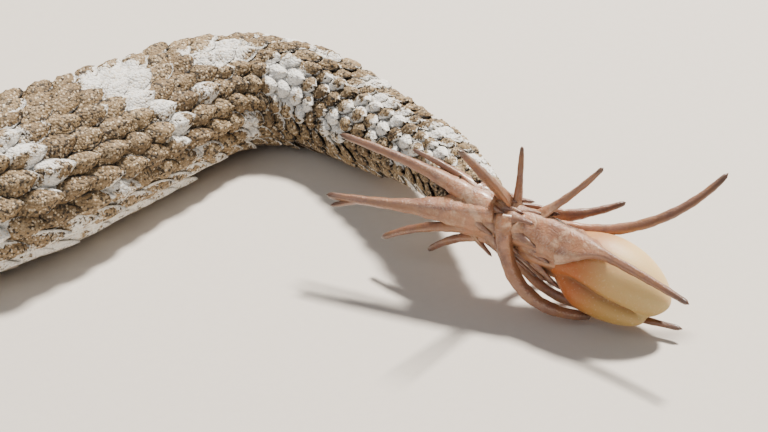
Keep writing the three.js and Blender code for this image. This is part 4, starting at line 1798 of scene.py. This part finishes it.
@dataclass
class Lure:
    """The spider-like lure: a stalk set with long scales, and a soft bulb of two lobes."""

    surface: Surface
    heading: float = -29.5  # where the lure points, in degrees
    pitch: float = -16.0
    # place along the stalk and its half width there
    stalk: tuple = ((-1.5, 3.0), (0, 3.4), (3, 3.1), (6, 3.0), (9, 3.2), (12.5, 2.9), (14.5, 2.2))
    bulb: Lobe = Lobe(8.6, 25.2, 4.25, 0.5, 0.7)
    lower: Lobe = Lobe(8.6, 23.6, 2.5, -1.7, -1.35)
    bulb_grid: tuple = (110, 160)
    groove_width: float = 0.28
    groove_depth: float = 0.45
    core_grid: tuple = (40, 48)
    short_at: tuple = (0.2, 1.8, 3.6, 5.2, 6.8, 8.2)  # where the rings of short scales stand
    short_count: int = 8
    short_lean: float = 14.0
    short_length: float = 4.2
    short_width: float = 2.7
    root: float = 1.2  # how deep a long scale is rooted in the stalk
    start_share: float = 0.8  # how far from the axis it is rooted, as a share of the stalk
    tip_share: float = 0.5  # how thick its tip is against its root
    taper: float = 2.5
    seed: int = 51

    def axes(self) -> tuple[Array, Array, Array, Array]:
        """Finds how the lure lies.

        Returns:
            Its root, its axis, and its left and up directions.
        """
        tail = np.array([self.surface.route.tail])
        floor, _, _ = self.surface.route.frame(tail)
        level = self.surface.belly_drop * float(self.surface.half(tail)[0])
        axis = direction(self.heading, self.pitch)
        left = direction(self.heading + 90, 0)
        return floor[0] + np.array([0, 0, level]), axis, left, np.cross(axis, left)

    def add_long(self, form: Form, scale: LongScale, steps: int = 48, sides: int = 24) -> None:
        """Adds one long scale, wrinkled along its length and cupped where it is a leaf.

        Args:
            form: The form that it joins.
            scale: The scale.
            steps: How many rings it has along its length.
            sides: How many points a ring has.
        """
        origin, axis, left, up = self.axes()
        rng = np.random.default_rng(int(self.seed + scale.at * 10 + scale.roll % 360))
        lean = math.sin(math.radians(scale.roll)) * left + math.cos(math.radians(scale.roll)) * up
        reach = float(read(self.stalk, scale.at)) * self.start_share
        first, last = direction(*scale.start), direction(*scale.end)
        point = origin + axis * scale.at + lean * reach - first * self.root
        angle = (np.arange(sides) + 0.5) * 2 * math.pi / sides
        ridges, phase, wave = rng.integers(3, 6), rng.uniform(0, 6.3), rng.uniform(0, 6.3)
        rings, marks = [], []
        for i in range(steps + 1):
            f = i / steps
            share = min(1.0, f / scale.settle)
            way = unit(first * (1 - share) + last * share)
            broad = unit(np.cross(way, lean))
            face = np.cross(broad, way)
            thick = scale.thick * (1 - (1 - self.tip_share) * f**self.taper)
            swell = 0.7 + 0.3 * math.sin(math.pi * min(1.0, 0.3 + f / scale.leaf))
            leaf = float(smooth(np.array(1 - f / scale.leaf))) * swell
            if scale.shoulder:
                drawn = smooth(np.array((scale.leaf - f) / scale.shoulder))
                leaf = float(drawn) * (0.6 + 0.4 * float(smooth(np.array(f / 0.22))))
            end = math.sqrt(max(0.0, 1 - max(0.0, (f - 0.955) / 0.045) ** 2)) * 0.96 + 0.04
            half = (thick + (scale.wide - thick) * leaf) / 2 * end
            fold = 0.10 * np.sin(ridges * angle + 5 * f + phase) * (0.4 + 0.6 * leaf)
            run = f * scale.length
            pinch = 0.045 * math.sin(run * 2.3 + wave) + 0.03 * math.sin(run * 5.1)
            nearer = np.clip(-broad[1] * np.cos(angle), 0, 1)
            cup = 0.12 * thick * bell(np.cos(angle), 0.3) - 0.30 * half * np.cos(angle) ** 2
            cup = leaf * (cup - scale.drape * half * nearer**1.4)
            wide = (1 + fold + pinch) * half
            tall = (1 + 1.6 * fold + pinch) * thick / 2 * end
            ring = point + broad * (np.cos(angle) * wide)[:, None]
            ring = ring + face * (np.sin(angle) * tall + cup)[:, None]
            if f > scale.skip > 0:
                point = point - (broad * 0.34 + face * 0.1) * scale.length / steps
            # High on the wrinkles' crests and on the face turned away from the stalk, low in the
            # creases and on the face turned to it: the lure's finish paints shade where it is low
            # and a highlight where it is high.
            crest = np.clip(0.62 + 2.6 * fold + 0.25 * np.sin(angle), 0, 1)
            if f >= scale.skip - 0.05:
                rings.append(ring)
                marks.append(together(f, min(1.0, leaf * 1.3), crest, 0.5))
            point = point + way * (scale.length + self.root) / steps
        places = np.zeros((len(rings), sides + 1, 2))
        add_tube(form, np.array(rings)[:, ::-1], np.array(marks)[:, ::-1], places)

    def short_scales(self) -> list[LongScale]:
        """Sets out the short pointed scales that ring the stalk between the long ones.

        Returns:
            The scales.
        """
        _, axis, left, up = self.axes()
        rng = np.random.default_rng(self.seed)
        found = []
        for ring, at in enumerate(self.short_at):
            for i in range(self.short_count):
                roll = (i + ring % 2 / 2) * 360 / self.short_count + rng.normal(0, 5)
                lean = math.sin(math.radians(roll)) * left + math.cos(math.radians(roll)) * up
                way = unit(axis + lean * math.tan(math.radians(self.short_lean + rng.normal(0, 4))))
                aim = (math.degrees(math.atan2(way[1], way[0])), math.degrees(math.asin(way[2])))
                size = 1 + rng.normal(0, 0.12)
                long, wide = self.short_length * size, self.short_width * size
                found.append(LongScale(at, roll, aim, aim, long, wide, leaf=1.0, thick=0.7))
        return found

    def fork(self) -> LongScale:
        """Returns the second tip of the long scale that reaches furthest back along the tail."""
        main = LONG_SCALES[0]
        return replace(main, length=main.length * 0.97, thick=1.2, skip=0.8)

    def build_flesh(self, material: bpy.types.Material) -> bpy.types.Object:
        """Builds the stalk and all its scales.

        Args:
            material: Their finish.

        Returns:
            Them all, as one piece.
        """
        origin, axis, left, up = self.axes()
        form = Form()
        rings, sides = self.core_grid
        at = np.linspace(self.stalk[0][0], self.stalk[-1][0], rings)[:, None]
        angle = full_turn(sides)
        pleat = np.sin(9 * angle + at)
        half = read(self.stalk, at) * 0.94 * (1 + 0.05 * pleat)
        core = origin + axis * at[..., None] + left * (np.cos(angle) * half)[..., None]
        core = core + up * (np.sin(angle) * half)[..., None]
        # The third value is low, and lowest in the pleats' hollows, so the lure's finish paints
        # shade over the stalk.
        marks = together(0.05, 0.35, 0.4 + 0.2 * pleat, 0.5)
        add_tube(form, core, marks, np.zeros((rings, sides + 1, 2)))
        for scale in (*LONG_SCALES, self.fork()):
            self.add_long(form, scale)
        for scale in self.short_scales():
            self.add_long(form, scale, steps=12, sides=10)
        return form.build("lure_flesh", material, mapped=False)

    def build_bulb(self, material: bpy.types.Material) -> bpy.types.Object:
        """Builds the bulb, its two lobes grown together with a groove between them.

        Args:
            material: Its finish.

        Returns:
            The bulb.
        """
        origin, axis, left, up = self.axes()
        rings, sides = self.bulb_grid
        f = (1 - np.cos(np.linspace(0.02, 1, rings) * math.pi)) / 2
        at = (self.bulb.start + (self.bulb.end - self.bulb.start) * f)[:, None]
        angle = full_turn(sides)
        main, main_side, main_rise = self.bulb.swell(at)
        small, side, rise = self.lower.swell(at)
        side, rise = side - main_side, rise - main_rise
        along = side * np.cos(angle) + rise * np.sin(angle)
        inside = small**2 - (side * np.sin(angle) - rise * np.cos(angle)) ** 2
        lower = np.where((inside > 0) & (along > 0), along + np.sqrt(np.maximum(inside, 0)), 0)
        reach = np.maximum(np.maximum(main, lower), 0.02)
        groove = np.exp(-np.abs(main - lower) / self.groove_width)
        groove = groove * (lower > 0.5) * smooth((at - 11) / 4)
        reach = reach - self.groove_depth * groove
        points = origin + axis * at[..., None]
        points = points + left * (main_side + np.cos(angle) * reach)[..., None]
        points = points + up * (main_rise + np.sin(angle) * reach)[..., None]
        # low rises towards the underside and over the lower lobe; the bulb's finish paints shade
        # there, with the lobe's own brown.
        low = np.clip(0.5 - 0.5 * np.sin(angle + 0.5) + 0.25 * (lower > main), 0, 1)
        u, v = np.linspace(0.02, 0.98, sides + 1)[None, :], np.linspace(0.02, 0.98, rings)[:, None]
        form = Form()
        # The third value lets the bulb's finish paint shade in the groove.
        add_tube(form, points, together(f[:, None], low, groove, 0.5), together(u, v))
        return form.build("lure_bulb_skin", material)


@dataclass(frozen=True)
class Lamp:
    """A square soft light."""

    name: str
    place: tuple  # in mm
    size: float  # its width in mm
    power: float  # in watts
    colour: tuple


@dataclass(frozen=True)
class Studio:
    """The pale floor, the soft lights and the camera."""

    look_at: tuple = (46.0, -2.0, 6.0)
    distance: float = 290.0
    elevation: float = 30.0
    frame_width: float = 92.16  # how wide the picture is at the place looked at, in mm
    sensor: float = 36.0
    floor_size: float = 6.0  # in metres
    lamps: tuple = (
        Lamp("key", (250, 300, 640), 100, 17.0, (1.0, 0.95, 0.88)),
        Lamp("fill", (-260, -420, 380), 520, 1.3, (0.93, 0.96, 1.0)),
    )
    sky: tuple = (0.93, 0.95, 1.0, 1.0)
    sky_strength: float = 0.23

    def camera(self) -> None:
        """Adds the camera at the photograph's viewing angle and makes it the scene's."""
        data = bpy.data.cameras.new("camera")
        camera = bpy.data.objects.new("camera", data)
        bpy.context.scene.collection.objects.link(camera)
        angle = math.radians(self.elevation)
        back = Vector((0, -math.cos(angle), math.sin(angle)))
        camera.location = (Vector(self.look_at) + back * self.distance) * MM
        camera.rotation_euler = (-back).to_track_quat("-Z", "Y").to_euler()
        data.sensor_width = self.sensor
        data.lens = data.sensor_width * self.distance / self.frame_width
        data.clip_start, data.clip_end = 0.01, 50.0
        bpy.context.scene.camera = camera

    def light(self, lamp: Lamp) -> None:
        """Adds a light that faces the place looked at.

        Args:
            lamp: The light.
        """
        data = bpy.data.lights.new(lamp.name, "AREA")
        data.size = lamp.size * MM
        data.energy = lamp.power
        data.color = lamp.colour
        light = bpy.data.objects.new(lamp.name, data)
        bpy.context.scene.collection.objects.link(light)
        light.location = Vector(lamp.place) * MM
        aim = (Vector(self.look_at) - Vector(lamp.place)).normalized()
        light.rotation_euler = aim.to_track_quat("-Z", "Y").to_euler()

    def floor(self) -> None:
        """Adds the plain pale floor."""
        half = self.floor_size / 2
        mesh = bpy.data.meshes.new("floor")
        corners = [(-half, -half, 0), (half, -half, 0), (half, half, 0), (-half, half, 0)]
        mesh.from_pydata(corners, [], [(0, 1, 2, 3)])
        mesh.materials.append(FloorFinish().make())
        floor = bpy.data.objects.new("floor", mesh)
        bpy.context.scene.collection.objects.link(floor)

    def build(self) -> None:
        """Adds all of it."""
        self.camera()
        self.floor()
        for lamp in self.lamps:
            self.light(lamp)
        world = bpy.data.worlds.new("world")
        world.use_nodes = True
        background = world.node_tree.nodes["Background"]
        background.inputs["Color"].default_value = self.sky
        background.inputs["Strength"].default_value = self.sky_strength
        bpy.context.scene.world = world


BODY_CUTS = (-500, -380, -265, -150, -45)  # s between the pieces of the body's scales
TAIL_CUT = 12  # and of the tail's
BODY_NODES = (
    "head", "lower_jaw", "neck", "fore_body_1", "fore_body_2", "fore_body_3", "mid_body_1",
    "mid_body_2", "mid_body_3", "mid_body_4", "hind_body_1", "hind_body_2", "hind_body_3",
    "tail_1", "tail_2",
)


def fasten(piece: bpy.types.Object, slot: Slot, *nodes: str) -> None:
    """Fixes a piece to the model and reports it.

    Args:
        piece: The piece.
        slot: A material slot of the solid model; not used.
        nodes: The nodes that it stands for, if any.
    """
    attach(piece, BODY)
    if nodes:
        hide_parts(*nodes)
    triangles = sum(len(face.vertices) - 2 for face in piece.data.polygons)
    log.info("%s: %d triangles", piece.name, triangles)


def main() -> None:
    """Builds the snake, its lure and the studio."""
    logging.basicConfig(level=logging.INFO, format="%(message)s")
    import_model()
    Studio().build()
    surface = Surface()
    markings = Markings(surface)
    body_skin = ScaleFinish("body_scales", SAND, grain=0.45, speckle=0.55).make()
    tail_skin = ScaleFinish("tail_scales", OLIVE, grain=0.30, speckle=1.0).make()
    head_skin = ScaleFinish("head_scales", SAND, grain=0.26, speckle=0.6).make()
    fasten(Skin(surface, markings).build(SkinFinish().make()), Slot.BODY, *BODY_NODES)
    scales = BodyScales(surface, markings)
    body_cuts = (surface.nape, *BODY_CUTS)
    tail_cuts = (BODY_CUTS[-1], TAIL_CUT, surface.route.tail + 2)
    stretches = (
        ("body_scales", body_cuts, KEELED, 0.85, body_skin, Slot.BODY),
        ("tail_scales", tail_cuts, KNOBBED, 1.12, tail_skin, Slot.TAIL),
    )
    for name, cuts, shape, high, material, slot in stretches:
        for number, (start, end) in enumerate(zip(cuts, cuts[1:]), 1):
            piece = scales.build(f"{name}_{number}", start, end, shape, high, material)
            fasten(piece, slot)
    fasten(scales.belly(BellyFinish().make()), Slot.BODY)
    for piece in HeadScales(surface, markings).build(head_skin):
        fasten(piece, Slot.HEAD)
    forms = HeadForms(surface)
    iris = EyeFinish().make()
    horn = ScaleFinish("horn_scales", SAND, grain=0.3, speckle=0.35).make()
    for side in Side:
        fasten(forms.eye(side, iris), Slot.EYE, f"eye_{side.label}")
        fasten(forms.horn(side, horn), Slot.HORN, f"horn_{side.label}")
    fasten(forms.snout_plates(head_skin), Slot.HEAD)
    lure = Lure(surface)
    fasten(lure.build_flesh(LureFinish().make()), Slot.LURE, "lure_stalk")
    fasten(lure.build_bulb(BulbFinish().make()), Slot.BULB, "lure_bulb")
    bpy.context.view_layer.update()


if __name__ == "__main__":
    main()
